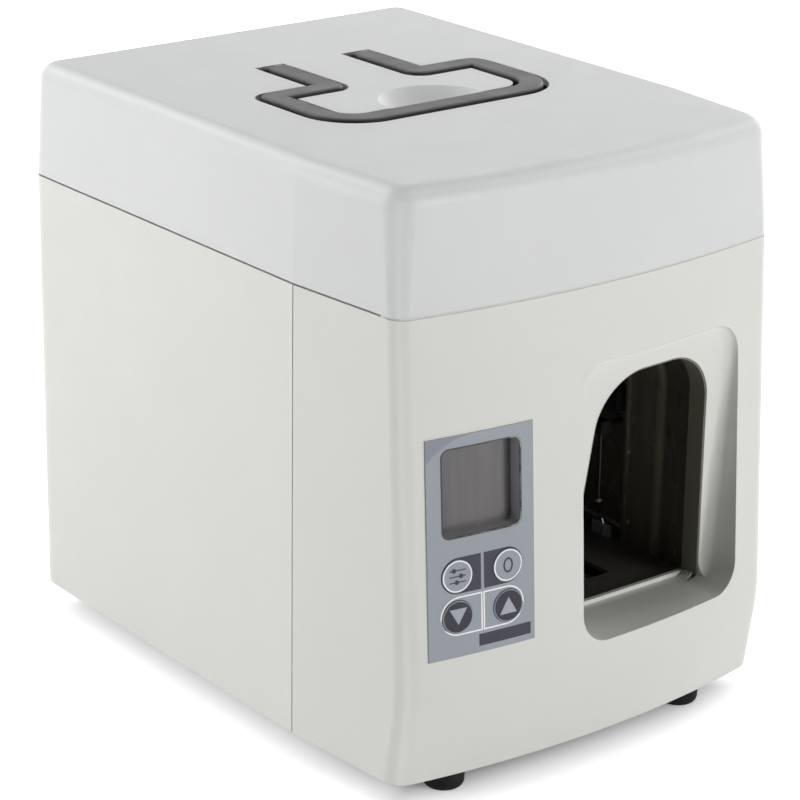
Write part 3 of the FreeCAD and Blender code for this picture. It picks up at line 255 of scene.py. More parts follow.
def transformer_material(name, core_front, core_back):
    """Stacked core sheets in the middle, wound and taped coil where it stands out of them."""
    n = Nodes(name)
    sheets = n.bands("Y", 320.0, 0.3)
    core = n.blend(sheets, srgb(62, 62, 66), srgb(92, 92, 96))
    coil = n.blend(n.bands("Z", 180.0), srgb(206, 172, 62), srgb(178, 142, 46))
    centre, half = (core_front + core_back) / 2, (core_back - core_front) / 2
    away = n.maths("ABSOLUTE", n.maths("SUBTRACT", n.axes()["Y"], centre))
    out = n.maths("GREATER_THAN", away, half + CORE_MARGIN)
    n.link(n.blend(out, core, coil), n.shader.inputs["Base Color"])
    n.link(n.span(n.noise(150.0, 4.0), 0.35, 0.6), n.shader.inputs["Roughness"])
    n.link(n.bump(sheets, 0.35, SHEET_DEPTH), n.shader.inputs["Normal"])
    return n.material


def threaded(name, colour, pitch):
    """Rolled screw thread along the width, with painted shade in its grooves."""
    n = Nodes(name)
    turns = n.bands("X", math.pi / (10 * pitch))
    # Painted shade: the grooves of the thread are coloured darker.
    n.link(n.blend(turns, darker(colour, 0.45), colour), n.shader.inputs["Base Color"])
    n.shader.inputs["Metallic"].default_value = 1.0
    n.link(n.span(n.noise(140.0, 4.0), 0.2, 0.36), n.shader.inputs["Roughness"])
    n.link(n.bump(turns, 0.9, THREAD_DEPTH), n.shader.inputs["Normal"])
    return n.material


def tipped(name, colour, tip, level):
    """Dark oxide wire and plate, worn bright below a level."""
    n = Nodes(name)
    worn = n.span(n.axes()["Z"], 1, 0, level, level + TIP_FADE)
    dark = n.blend(n.span(n.noise(300.0, 4.0), 0, 1), colour, darker(colour, 0.3))
    n.link(n.blend(worn, dark, tip), n.shader.inputs["Base Color"])
    n.link(n.span(worn, 0.0, 1.0, 0, 1), n.shader.inputs["Metallic"])
    n.link(n.span(n.noise(220.0, 3.0), 0.35, 0.5), n.shader.inputs["Roughness"])
    n.link(n.bump(n.noise(FINE, 3.0), 0.3, GRAIN_DEPTH), n.shader.inputs["Normal"])
    return n.material


def rubber(name, colour):
    """Dull rubber with a little dust."""
    n = Nodes(name)
    dust = mix_colour(colour, srgb(120, 118, 112), 0.03)
    n.link(n.blend(n.span(n.noise(260.0, 4.0), 0, 1, 0.5, 0.75), colour, dust), n.shader.inputs["Base Color"])
    n.link(n.span(n.noise(90.0, 4.0), 0.6, 0.85), n.shader.inputs["Roughness"])
    n.shader.inputs["Specular IOR Level"].default_value = 0.2
    n.link(n.bump(n.noise(1800.0, 3.0, 0.7), 0.4, COARSE_DEPTH), n.shader.inputs["Normal"])
    return n.material


def metal(name, colour, rough, stretch):
    """Rolled, turned or polished metal: fine directional lines and light smears."""
    n = Nodes(name)
    dark = darker(colour, 0.18)
    streak = n.noise(FINE, 3.0, 0.6, stretch)
    n.link(n.blend(n.span(streak, 0, 1), colour, dark), n.shader.inputs["Base Color"])
    n.shader.inputs["Metallic"].default_value = 1.0
    n.link(n.span(n.noise(70.0, 4.0, 0.6, stretch), rough[0], rough[1]), n.shader.inputs["Roughness"])
    n.link(n.bump(streak, 0.25, FINE_DEPTH), n.shader.inputs["Normal"])
    return n.material


def printed(name, colour, rough=(0.32, 0.42)):
    """Silk-screened film: very fine pebble and faint cloudiness."""
    n = Nodes(name)
    cloud = n.span(n.noise(38.0, 3.0), 0, 1)
    n.link(n.blend(cloud, colour, darker(colour, 0.03)), n.shader.inputs["Base Color"])
    n.link(n.span(n.noise(160.0, 4.0), rough[0], rough[1]), n.shader.inputs["Roughness"])
    n.shader.inputs["Specular IOR Level"].default_value = 0.3
    n.link(n.bump(n.noise(3600.0, 2.0), 0.25, PEBBLE_DEPTH), n.shader.inputs["Normal"])
    return n.material


def paper_roll(name, centre):
    """Edges of a wound paper band: thin rings, slightly uneven."""
    n = Nodes(name)
    light = srgb(226, 220, 202)
    dark = srgb(186, 176, 150)
    wave = n.new("ShaderNodeTexWave", wave_type="RINGS", rings_direction="Y")
    wave.inputs["Scale"].default_value = 900.0
    wave.inputs["Distortion"].default_value = 0.4
    mapping = n.new("ShaderNodeMapping")
    mapping.inputs["Location"].default_value = (-centre.x, 0.0, -centre.z)
    n.link(n.place, mapping.inputs["Vector"])
    n.link(mapping.outputs["Vector"], wave.inputs["Vector"])
    n.link(n.blend(wave.outputs["Fac"], light, dark), n.shader.inputs["Base Color"])
    n.link(n.span(n.noise(120.0, 4.0), 0.75, 0.92), n.shader.inputs["Roughness"])
    n.link(n.bump(wave.outputs["Fac"], 0.4, WOUND_DEPTH), n.shader.inputs["Normal"])
    return n.material


def circuit_board(name, colour):
    """Solder mask with copper tracks that show through."""
    n = Nodes(name)
    track = mix_colour(colour, srgb(120, 170, 90), 0.35)
    brick = n.new("ShaderNodeTexBrick", offset=0.5)
    brick.inputs["Scale"].default_value = 130.0
    brick.inputs["Mortar Size"].default_value = 0.12
    brick.inputs["Color1"].default_value = colour
    brick.inputs["Color2"].default_value = darker(colour, 0.2)
    brick.inputs["Mortar"].default_value = track
    n.link(n.place, brick.inputs["Vector"])
    n.link(brick.outputs["Color"], n.shader.inputs["Base Color"])
    n.link(n.span(n.noise(200.0, 3.0), 0.22, 0.4), n.shader.inputs["Roughness"])
    n.link(n.bump(brick.outputs["Fac"], 0.3, COARSE_DEPTH), n.shader.inputs["Normal"])
    return n.material


def display_face(name):
    """Dark liquid-crystal cell: warm grey, faint vertical bands, satin polariser."""
    n = Nodes(name)
    a = srgb(100, 96, 96)
    b = srgb(84, 82, 82)
    bands = n.noise(160.0, 2.0, 0.5, (1.0, 1.0, 0.06))
    n.link(n.blend(n.span(bands, 0, 1), a, b), n.shader.inputs["Base Color"])
    n.link(n.span(n.noise(90.0, 3.0), 0.16, 0.26), n.shader.inputs["Roughness"])
    n.link(n.bump(n.noise(2400.0, 1.0), 0.1, FINE_DEPTH), n.shader.inputs["Normal"])
    return n.material


def handle_with_painted_shade(name, top, side):
    """Grey upper face, near-black flanks set by the direction the surface faces: painted shade on the flanks.
    """
    n = Nodes(name)
    # Painted shade: faces turned away from upward get the near-black flank colour.
    edge = n.span(n.facing()["Z"], 0, 1, 0.55, 0.8)
    cloud = n.span(n.noise(30.0, 3.0), 0, 1)
    upper = n.blend(cloud, top, darker(top, 0.06))
    n.link(n.blend(edge, side, upper), n.shader.inputs["Base Color"])
    n.link(n.span(n.noise(80.0, 4.0), 0.42, 0.58), n.shader.inputs["Roughness"])
    n.shader.inputs["Specular IOR Level"].default_value = 0.2
    n.link(n.bump(n.noise(1600.0, 3.0, 0.6), 0.5, COARSE_DEPTH), n.shader.inputs["Normal"])
    return n.material


# Both casings carry the painted highlight on their rounded edges.
body_plastic = moulded("ivory_plastic", srgb(222, 222, 217), bevel=EDGE_RADIUS, lift=EDGE_PAINTED_HIGHLIGHT)
lid_plastic = moulded("pale_grey_plastic", srgb(219, 220, 220), bevel=EDGE_RADIUS, lift=EDGE_PAINTED_HIGHLIGHT)
black_plastic = moulded("black_plastic", srgb(38, 38, 38), rough=(0.4, 0.55), tint=0.15)
# Painted shade: the liner's dark olive grey stands in for the shade inside the slot.
liner_painted_shade = moulded("dark_liner_plastic", srgb(112, 112, 98), rough=(0.45, 0.6), tint=0.12)
socket_plastic = moulded("socket_plastic", srgb(30, 30, 31), rough=(0.3, 0.45), tint=0.12)
reel_plastic = moulded("reel_plastic", srgb(66, 66, 70), rough=(0.35, 0.5), tint=0.1)
clamp_plastic = moulded("clamp_plastic", srgb(46, 46, 46), rough=(0.4, 0.55), tint=0.15)
smoked = moulded("smoked_plastic", srgb(112, 104, 92), rough=(0.2, 0.34), tint=0.25, specular=0.5)
black_rubber = rubber("black_rubber", srgb(7, 7, 8))
handle_plastic_painted_shade = handle_with_painted_shade("handle_plastic_painted_shade", srgb(92, 92, 91), srgb(14, 14, 14))
painted = moulded("dark_enamel", srgb(86, 83, 78), rough=(0.4, 0.55), tint=0.25)
catch_plastic = moulded("catch_plastic", srgb(172, 174, 186), rough=(0.4, 0.55), tint=0.2)
dull_plate = metal("dull_plate", srgb(118, 119, 121), (0.4, 0.55), (1.0, 1.0, 12.0))
plated = metal("zinc_plated_sheet", srgb(176, 177, 178), (0.3, 0.45), (1.0, 1.0, 12.0))
inner_sheet = metal("black_oxide_sheet", srgb(52, 52, 52), (0.35, 0.5), (1.0, 1.0, 12.0))
polished = metal("polished_steel", srgb(205, 205, 207), (0.08, 0.2), (1.0, 1.0, 1.0))
blade_steel = metal("ground_steel", srgb(190, 191, 195), (0.15, 0.25), (1.0, 14.0, 1.0))
milled = metal("milled_aluminium", srgb(200, 201, 203), (0.25, 0.38), (14.0, 1.0, 1.0))
motor_paint = moulded("motor_enamel", srgb(46, 47, 50), rough=(0.3, 0.45), tint=0.15)
label_film = printed("label_film", srgb(157, 163, 170))
label_shade = printed("label_shade", srgb(139, 144, 156))
key_light = printed("key_film_light", srgb(156, 162, 169), (0.28, 0.38))
ink_dark = printed("ink_dark", srgb(50, 52, 64), (0.34, 0.45))
ink_black = printed("ink_black", srgb(36, 38, 47), (0.34, 0.45))
ink_white = printed("ink_white", srgb(253, 253, 254), (0.3, 0.4))
ink_grey = printed("ink_grey", srgb(168, 173, 182), (0.3, 0.4))
lcd = display_face("display_cell")
board = circuit_board("solder_mask", srgb(18, 92, 52))
chip = moulded("chip_resin", srgb(34, 34, 36), rough=(0.45, 0.6), tint=0.1)
paper = paper_roll("paper_band", middle("tape_roll"))
bezel_plastic = moulded("bezel_plastic", srgb(156, 156, 159), rough=(0.4, 0.55), tint=0.1)
core_low, core_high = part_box("transformer")
wound = transformer_material("transformer_stack", core_low.y + COIL_OUT, core_high.y - COIL_OUT)
lever_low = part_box("sense_lever")[0]
lever_steel = tipped("lever_oxide", srgb(40, 41, 46), srgb(215, 215, 217), lever_low.z + TIP_TALL)
thread = threaded("rolled_thread", srgb(196, 196, 199), THREAD_PITCH)
track_low, track_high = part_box("tape_track")
guide = smoked_wall("smoked_guide_painted_light", srgb(70, 65, 56), srgb(196, 190, 164),
                    [(track_low.y + (track_high.y - track_low.y) * t, v) for t, v in GUIDE_PAINTED_LIGHT_BANDS])


def dress(material, *nodes):
    """Gives a material to every slot of the named nodes."""
    for node in nodes:
        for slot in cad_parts[node].material_slots:
            slot.link = "OBJECT"
            slot.material = material


dress(body_plastic, "front_shell", "rear_cover")
dress(lid_plastic, "top_lid")
dress(handle_plastic_painted_shade, "carry_handle")
dress(black_plastic, "handle_tray", "reel_cap", "catch_magnets", "sensor_switch")
dress(bezel_plastic, "display_bezel")
dress(liner_painted_shade, "arch_liner")
dress(socket_plastic, "power_inlet", "rocker_frame", "rocker")
dress(reel_plastic, "reel_hub", "idler_roller")
dress(clamp_plastic, "clamp_pad", "seal_holder")
dress(smoked, "bay_wall_left", "bay_wall_right")
dress(guide, "tape_track")
dress(black_rubber, "rubber_feet", "feed_roller", "pinch_roller")
dress(plated, "base_plate", "clamp_bracket", "hinge_body_leaves", "hinge_lid_leaves")
dress(dull_plate, "catch_plates")
dress(inner_sheet, "mech_plate", "back_stop")
dress(painted, "bay_floor")
dress(polished, "foot_screws", "base_screws", "hinge_pins", "hinge_body_screws", "hinge_lid_screws",
      "handle_pins", "reel_shaft", "roller_shafts", "clamp_rods", "standoffs")
dress(lever_steel, "sense_lever")
dress(thread, "clamp_screw")
dress(blade_steel, "cutter_blade")
dress(milled, "heater")
dress(motor_paint, "feed_motor", "clamp_actuator", "solenoid")
dress(wound, "transformer")
dress(label_film, "keypad_overlay", "key_down", "key_up")
dress(key_light, "key_settings", "key_zero")
dress(lcd, "display_module")
dress(board, "keypad_board", "main_board")
dress(chip, "board_parts", "key_switches")
dress(paper, "tape_roll")


# Pieces that the scene adds


def add_piece(name, mesh, material, body):
    """Puts a mesh in the scene as a piece that rides a body."""
    piece = bpy.data.objects.new(name, mesh)
    bpy.context.scene.collection.objects.link(piece)
    mesh.materials.append(material)
    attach(piece, body)


def surface_of(node):
    """Search tree of a node's faces."""
    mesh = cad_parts[node].data
    points = [v.co.copy() for v in mesh.vertices]
    return BVHTree.FromPolygons(points, [list(p.vertices) for p in mesh.polygons])


# Thin printed pieces that lie on the curved front

# Where rays towards the front start, and about where the front lies
FAR_FRONT, FRONT_MIDDLE = -0.3, -0.128
# Gap under a print and its thickness, then the longest edge and the rounds of splitting that let it drape
PRINT_LIFT = 0.03 * MM
PRINT_THICK = 0.05 * MM
PRINT_STEP = 2.5 * MM
PRINT_ROUNDS = 4


def front_point(tree, x, z, lift):
    """Point on the front at a place of the elevation, lifted off it."""
    hit = tree.ray_cast(Vector((x, FAR_FRONT, z)), Vector((0, 1, 0)))[0]
    if hit is None:
        near = tree.find_nearest(Vector((x, FRONT_MIDDLE, z)))[0]
        hit = Vector((x, near.y, z))
    return hit + Vector((0, -lift, 0))


def filled(loops):
    """Flat mesh between an outer loop and any inner loops, given in mm from the corner of the body."""
    bm = bmesh.new()
    edges = []
    for loop in loops:
        ring = [bm.verts.new((x * MM, 0, BODY_LOW + z * MM)) for x, z in loop]
        for i in range(len(ring)):
            edges.append(bm.edges.new((ring[i], ring[(i + 1) % len(ring)])))
    bmesh.ops.triangle_fill(bm, use_beauty=True, edges=edges)
    return bm


def split_long_edges(bm):
    for _ in range(PRINT_ROUNDS):
        long_edges = [e for e in bm.edges if e.calc_length() > PRINT_STEP]
        if not long_edges:
            break
        bmesh.ops.subdivide_edges(bm, edges=long_edges, cuts=1)
        bmesh.ops.triangulate(bm, faces=bm.faces[:])


def decal(name, loops, tree, material, body, lift=PRINT_LIFT):
    """Thin printed shape draped on a surface."""
    bm = filled(loops)
    split_long_edges(bm)
    for v in bm.verts:
        v.co = front_point(tree, v.co.x, v.co.z, lift + PRINT_THICK)
    bm.normal_update()
    top = bm.faces[:]
    if sum(f.normal.y * f.calc_area() for f in top) > 0:
        bmesh.ops.reverse_faces(bm, faces=top)
    made = bmesh.ops.extrude_face_region(bm, geom=top)
    front = {g for g in made["geom"] if isinstance(g, bmesh.types.BMVert)}
    for v in {v for f in top if f.is_valid for v in f.verts} - front:
        v.co.y += PRINT_THICK
    bmesh.ops.recalc_face_normals(bm, faces=bm.faces[:])
    mesh = bpy.data.meshes.new(name)
    bm.to_mesh(mesh)
    bm.free()
    add_piece(name, mesh, material, body)


def arc(cx, cz, r, start, end, steps=24):
    return [(cx + r * math.cos(math.radians(start + (end - start) * i / steps)),
             cz + r * math.sin(math.radians(start + (end - start) * i / steps))) for i in range(steps + 1)]


def circle(cx, cz, r, steps=48):
    return arc(cx, cz, r, 0, 360, steps)[:-1]


def oval(cx, cz, a, b, steps=40):
    return [(cx + a * math.cos(2 * math.pi * i / steps), cz + b * math.sin(2 * math.pi * i / steps))
            for i in range(steps)]


def d_shape(cx, cz, r, straight, left):
    """Half-round end and a straight far side."""
    if left:
        return arc(cx, cz, r, 90, 270) + [(straight, cz - r), (straight, cz + r)]
    return arc(cx, cz, r, -90, 90) + [(straight, cz + r), (straight, cz - r)]


def round_rect(x0, x1, z0, z1, r):
    return (arc(x1 - r, z1 - r, r, 0, 90, 8) + arc(x0 + r, z1 - r, r, 90, 180, 8)
            + arc(x0 + r, z0 + r, r, 180, 270, 8) + arc(x1 - r, z0 + r, r, 270, 360, 8))


def bar(x0, x1, z0, z1):
    return [(x0, z0), (x1, z0), (x1, z1), (x0, z1)]


def moved(points, x, z):
    return [(x + px, z + pz) for px, pz in points]


# Keypad graphics, in mm

LOW_MM = BODY_LOW / MM
pad_low, pad_high = box_mm("keypad_overlay")
bezel_low, bezel_high = box_mm("display_bezel")
KEY_LEFT = middle("key_settings").x / MM
KEY_RIGHT = middle("key_zero").x / MM
KEY_HIGH = middle("key_settings").z / MM - LOW_MM
KEY_LOW = middle("key_down").z / MM - LOW_MM
KEY_MID = (KEY_LEFT + KEY_RIGHT) / 2
KEY_HOLE = 6.85
FIELD_RADIUS, FIELD_GAP, FIELD_SHIFT = 7.3, 0.7, 0.4
OUTLINE, OUTLINE_SHIFT, OUTLINE_UP, OUTLINE_GAP_SHARE = 0.6, 0.5, 0.2, 0.3
STRIP_END, STRIP_UP, STRIP_LONG, STRIP_TALL = 2.0, 2.6, 23.6, 4.9
SHADE_EDGE, SHADE_DEEP, SHADE_WIDE, SHADE_POWER, SHADE_STEPS = 0.2, 8.8, 21.0, 2.2, 16
BEZEL_WALL = 1.2
RIM_OUT, RIM_OUT_RADIUS, RIM_IN, RIM_IN_RADIUS = 0.5, 3.5, 0.05, 3.0
RING_OUT, RING_IN = 6.4, 5.85
DISC_RADIUS = 6.15
ARROW_DOWN = ((-3.7, 3.4), (3.9, 3.4), (0.1, -3.1))
ARROW_UP = ((-4.0, -3.2), (3.8, -3.2), (0.0, 3.5))
# Height of each slider's line and place of its knob along it, from the middle of the key
SLIDERS = ((2.4, -1.6), (0.0, 1.5), (-2.4, -0.4))
SLIDER_HALF, SLIDER_THIN, KNOB_RADIUS, KNOB_LIFT, KNOB_STEPS = 3.6, 0.22, 0.95, 0.08 * MM, 20
ZERO_OUT, ZERO_IN = (2.2, 3.1), (1.45, 2.35)

label_tree = surface_of("keypad_overlay")
key_trees = {key: surface_of("key_" + key) for key in ("settings", "zero", "down", "up")}


def on_label(name, loops, material):
    decal(name, loops, label_tree, material, "housing")


def on_key(name, key, loops, material, lift=PRINT_LIFT):
    decal(name, loops, key_trees[key], material, "key_" + key, lift)


def print_fields():
    """Dark fields round the upper keys, white outlines round the lower ones."""
    for name, x, side in (("field_settings", KEY_LEFT, -1), ("field_zero", KEY_RIGHT, 1)):
        field = d_shape(x - side * FIELD_SHIFT, KEY_HIGH, FIELD_RADIUS, KEY_MID + side * FIELD_GAP, side < 0)
        on_label(name, [field, circle(x, KEY_HIGH, KEY_HOLE)], ink_dark)
    for name, x, side in (("outline_down", KEY_LEFT, -1), ("outline_up", KEY_RIGHT, 1)):
        near = KEY_MID + side * FIELD_GAP * OUTLINE_GAP_SHARE
        cx, cz = x - side * OUTLINE_SHIFT, KEY_LOW + OUTLINE_UP
        outer = d_shape(cx, cz, FIELD_RADIUS + OUTLINE, near, side < 0)
        inner = d_shape(cx, cz, FIELD_RADIUS, near + side * OUTLINE, side < 0)
        on_label(name, [outer, inner], ink_white)


def print_sheet():
    """Bare name strip, shaded corner and the dark rim of the window."""
    right, low = pad_high.x - STRIP_END, pad_low.z - LOW_MM + STRIP_UP
    on_label("label_strip", [bar(right - STRIP_LONG, right, low, low + STRIP_TALL)], ink_dark)
    x, z = pad_low.x + SHADE_EDGE, pad_high.z - LOW_MM - SHADE_EDGE
    curve = [(x + SHADE_WIDE * t, z - SHADE_DEEP * (1 - t) ** SHADE_POWER)
             for t in [i / SHADE_STEPS for i in range(1, SHADE_STEPS + 1)]]
    on_label("label_corner", [[(x, z), (x, z - SHADE_DEEP)] + curve], label_shade)
    x0, x1 = bezel_low.x + BEZEL_WALL, bezel_high.x - BEZEL_WALL
    z0, z1 = bezel_low.z + BEZEL_WALL - LOW_MM, bezel_high.z - BEZEL_WALL - LOW_MM
    outer = round_rect(x0 - RIM_OUT, x1 + RIM_OUT, z0 - RIM_OUT, z1 + RIM_OUT, RIM_OUT_RADIUS)
    inner = round_rect(x0 + RIM_IN, x1 - RIM_IN, z0 + RIM_IN, z1 - RIM_IN, RIM_IN_RADIUS)
    on_label("window_rim", [outer, inner], ink_dark)


def print_keys():
    """White rings, arrows, sliders and the nought, which move with their keys."""
    for key, x in (("settings", KEY_LEFT), ("zero", KEY_RIGHT)):
        ring = [circle(x, KEY_HIGH, RING_OUT), circle(x, KEY_HIGH, RING_IN)]
        on_key("ring_" + key, key, ring, ink_white)
    for key, x, arrow in (("down", KEY_LEFT, ARROW_DOWN), ("up", KEY_RIGHT, ARROW_UP)):
        mark = moved(arrow, x, KEY_LOW)
        on_key("disc_" + key, key, [circle(x, KEY_LOW, DISC_RADIUS), mark], ink_black)
        on_key("mark_" + key, key, [mark], ink_grey)
    for i, (up, along) in enumerate(SLIDERS):
        z = KEY_HIGH + up
        line = bar(KEY_LEFT - SLIDER_HALF, KEY_LEFT + SLIDER_HALF, z - SLIDER_THIN, z + SLIDER_THIN)
        knob = circle(KEY_LEFT + along, z, KNOB_RADIUS, KNOB_STEPS)
        on_key("slider_line_%d" % i, "settings", [line], ink_dark)
        on_key("slider_knob_%d" % i, "settings", [knob], ink_dark, lift=KNOB_LIFT)
    nought = [oval(KEY_RIGHT, KEY_HIGH, *ZERO_OUT), oval(KEY_RIGHT, KEY_HIGH, *ZERO_IN)]
    on_key("digit_zero", "zero", nought, ink_dark)


print_fields()
print_sheet()
print_keys()


# Solid pieces built from points


def mesh_piece(name, points, faces, material, body):
    mesh = bpy.data.meshes.new(name)
    mesh.from_pydata([tuple(p) for p in points], [], faces)
    mesh.update()
    bm = bmesh.new()
    bm.from_mesh(mesh)
    bmesh.ops.recalc_face_normals(bm, faces=bm.faces[:])
    bm.to_mesh(mesh)
    bm.free()
    add_piece(name, mesh, material, body)


def skin(rows, sides):
    """Faces of a closed row of points drawn along, with both ends shut."""
    faces = []
    for k in range(rows - 1):
        for i in range(sides):
            j = (i + 1) % sides
            faces.append((sides * k + i, sides * k + j, sides * (k + 1) + j, sides * (k + 1) + i))
    return faces + [tuple(range(sides)), tuple(sides * (rows - 1) + i for i in range(sides))]


def tube(name, path, radius, material, body, sides=8):
    """Round wire along a path that stays in one depth-and-height plane."""
    points = []
    for k, p in enumerate(path):
        along = (path[min(k + 1, len(path) - 1)] - path[max(k - 1, 0)]).normalized()
        side = along.cross(Vector((1, 0, 0))).normalized()
        other = along.cross(side)
        for i in range(sides):
            a = 2 * math.pi * i / sides
            points.append(p + side * radius * math.cos(a) + other * radius * math.sin(a))
    mesh_piece(name, points, skin(len(path), sides), material, body)


# Share of the radius, share of the height
DOME_RINGS = ((1.0, 0.0), (1.0, 0.35), (0.85, 0.75), (0.55, 0.95), (0.16, 1.0))
SLOT_REACH, SLOT_HALF, SLOT_DEPTH = 0.9, 0.17, 0.35


def dome_screw(name, centre, radius, proud, material, body, steps=20):
    """Low domed head on a wall that faces left, with a slot pressed across it."""
    points = []
    for share, rise in DOME_RINGS:
        for i in range(steps):
            a = 2 * math.pi * i / steps
            slotted = share < SLOT_REACH and abs(math.sin(a)) * share < SLOT_HALF
            sunk = SLOT_DEPTH if slotted else 0.0
            offset = (-proud * (rise - sunk), radius * share * math.cos(a), radius * share * math.sin(a))
            points.append(centre + Vector(offset))
    mesh_piece(name, points, skin(len(DOME_RINGS), steps), material, body)


def block(name, low, high, material, body):
    points = [(x, y, z) for x in (low[0], high[0]) for y in (low[1], high[1]) for z in (low[2], high[2])]
    faces = [(0, 1, 3, 2), (4, 6, 7, 5), (0, 4, 5, 1), (2, 3, 7, 6), (0, 2, 6, 4), (1, 5, 7, 3)]
    mesh_piece(name, points, faces, material, body)


# Pale tongue behind the front part of the lid seam

SEAM_GAP = 0.8 * MM
TONGUE_INSET, TONGUE_THICK, TONGUE_CLEAR, TONGUE_END = 0.35 * MM, 1.4 * MM, 0.12 * MM, 4.0 * MM
TONGUE_PROBE_DOWN, TONGUE_PROBE_AWAY = 1.0 * MM, 1.0
TONGUE_STEPS = 72


def seam_tongue():
    """Ribbon that follows the top of the body behind the front of the seam."""
    tree = surface_of("front_shell")
    low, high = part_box("front_shell")
    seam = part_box("top_lid")[0].z - SEAM_GAP
    top = seam + SEAM_GAP - TONGUE_CLEAR
    points = []
    for k in range(TONGUE_STEPS + 1):
        x = low.x + TONGUE_END + (high.x - low.x - 2 * TONGUE_END) * k / TONGUE_STEPS
        start = Vector((x, low.y - TONGUE_PROBE_AWAY, seam - TONGUE_PROBE_DOWN))
        hit = tree.ray_cast(start, Vector((0, 1, 0)))[0]
        if hit is None:
            continue
        y = hit.y + TONGUE_INSET
        points += [(x, y, seam), (x, y, top), (x, y + TONGUE_THICK, top), (x, y + TONGUE_THICK, seam)]
    mesh_piece("seam_tongue", points, skin(len(points) // 4, 4), body_plastic, "housing")


seam_tongue()


# Small fittings in the bay

RAIL_LENGTH, RAIL_UP, RAIL_THICK, RAIL_PROUD = 30.0 * MM, 4.6 * MM, 1.2 * MM, 1.6 * MM
CATCH_OUT, CATCH_FRONT, CATCH_LENGTH, CATCH_TALL = 6.0 * MM, 3.0 * MM, 11.0 * MM, 5.4 * MM
CLIP_RADIUS, CLIP_WIRE, CLIP_SHARE = 4.2 * MM, 0.3 * MM, 0.6
CLIP_START, CLIP_TURN, CLIP_POINTS = 260, 17, 15
GUIDE_SCREWS = ((40.3, 41.4), (38.7, 9.6))  # mm behind and above the guide's lowest front corner
GUIDE_SCREW_RADIUS, GUIDE_SCREW_PROUD = 0.9 * MM, 0.5 * MM


def bay_fittings():
    """Rail on the right wall, catch with its wire clip on the floor, two screws in the guide."""
    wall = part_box("bay_wall_right")[0]
    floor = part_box("bay_floor")[1].z
    rail_low = (wall.x - RAIL_PROUD, wall.y, floor + RAIL_UP)
    rail_high = (wall.x, wall.y + RAIL_LENGTH, floor + RAIL_UP + RAIL_THICK)
    block("wall_rail", rail_low, rail_high, catch_plastic, "housing")
    catch_y = wall.y + CATCH_FRONT
    catch_low = (wall.x - CATCH_OUT, catch_y, floor)
    catch_high = (wall.x - CATCH_OUT + RAIL_PROUD, catch_y + CATCH_LENGTH, floor + CATCH_TALL)
    block("floor_catch", catch_low, catch_high, catch_plastic, "housing")
    catch_middle = catch_y + CATCH_LENGTH / 2
    centre = Vector((wall.x - CATCH_OUT - 2 * CLIP_WIRE, catch_middle, floor + CLIP_RADIUS + CLIP_WIRE))
    turns = [math.radians(CLIP_START - CLIP_TURN * k) for k in range(CLIP_POINTS)]
    half = CLIP_RADIUS * CLIP_SHARE
    path = [centre + Vector((0, half * math.cos(a), CLIP_RADIUS * math.sin(a))) for a in turns]
    tube("wire_clip", path, CLIP_WIRE, polished, "housing")
    tree = surface_of("tape_track")
    for k, (behind, above) in enumerate(GUIDE_SCREWS):
        start = Vector(((track_low.x + wall.x) / 2, track_low.y + behind * MM, track_low.z + above * MM))
        hit = tree.ray_cast(start, Vector((1, 0, 0)))[0]
        if hit:
            dome_screw("track_screw_%d" % k, hit, GUIDE_SCREW_RADIUS, GUIDE_SCREW_PROUD, catch_plastic,
                       "housing")


bay_fittings()


# Foot of the slot's dark band, where it meets the ledge

FOOT_OUT, FOOT_IN, FOOT_DEEP, FOOT_SINK, FOOT_RISE_SHARE = 3.4 * MM, 4.6 * MM, 3.2 * MM, 1.2 * MM, 0.61
FOOT_START, FOOT_STOP = 12.6 * MM, 2.4 * MM


def ledge_end():
    """Wedge with a top that slopes up to the right."""
    low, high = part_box("arch_liner")
    left, right = high.x - FOOT_IN, high.x + FOOT_OUT
    base, level = low.z - FOOT_DEEP, low.z - FOOT_SINK
    rise = (right - left) * FOOT_RISE_SHARE
    points = []
    for y in (low.y + FOOT_START, high.y - FOOT_STOP):
        points += [(left, y, base), (left, y, level), (right, y, level + rise), (right, y, base)]
    mesh_piece("ledge_end", points, skin(2, 4), body_plastic, "housing")


ledge_end()


# Floor, light and camera

# Azimuth from straight in front, positive to the right, and elevation in degrees; distance and size in
# metres; power in watts
LAMPS = (
    ("side_rear", -125, 15, 2.2, 1.2, 20.5),
    ("side", -95, 8, 3.2, 1.6, 23.0),
    ("back_left", -165, 42, 2.2, 1.2, 15.5),
    ("back_right", 135, 42, 2.2, 1.2, 6.0),
    ("right", 90, 42, 2.2, 1.2, 9.0),
    ("right_low", 112, 12, 2.2, 1.2, 12.0),
    ("top", 45, 70, 2.2, 1.2, 4.4),
    ("front", 20, 8, 3.2, 1.6, 64.5),
)
LAMP_AIM = Vector((0, 0, 0.12))
WORLD_LIGHT = 0.0
FLOOR_HALF, FLOOR_WHITE, FLOOR_ROUGH = 6.0, 0.93, 0.9
# Painted shadow on the floor: distance out from the foot line in mm, glow of the floor there, dimmed near and
# under the body
GLOW_PAINTED_SHADOW_STOPS = ((-26.0, 0.02), (-22.5, 0.05), (-18.6, 0.17), (-14.5, 0.28), (-11.0, 0.385), (-7.4, 0.49),
              (-3.7, 0.565), (0.0, 0.60), (3.7, 0.62), (7.4, 0.66), (12.0, 0.70))
# Scale of the distance in front of the body, which shapes the painted shadow there
PAINTED_SHADOW_FRONT_STRETCH = 1.25
FAR_GLOW, FAR_SPAN = 0.6, (0.1, 0.9)
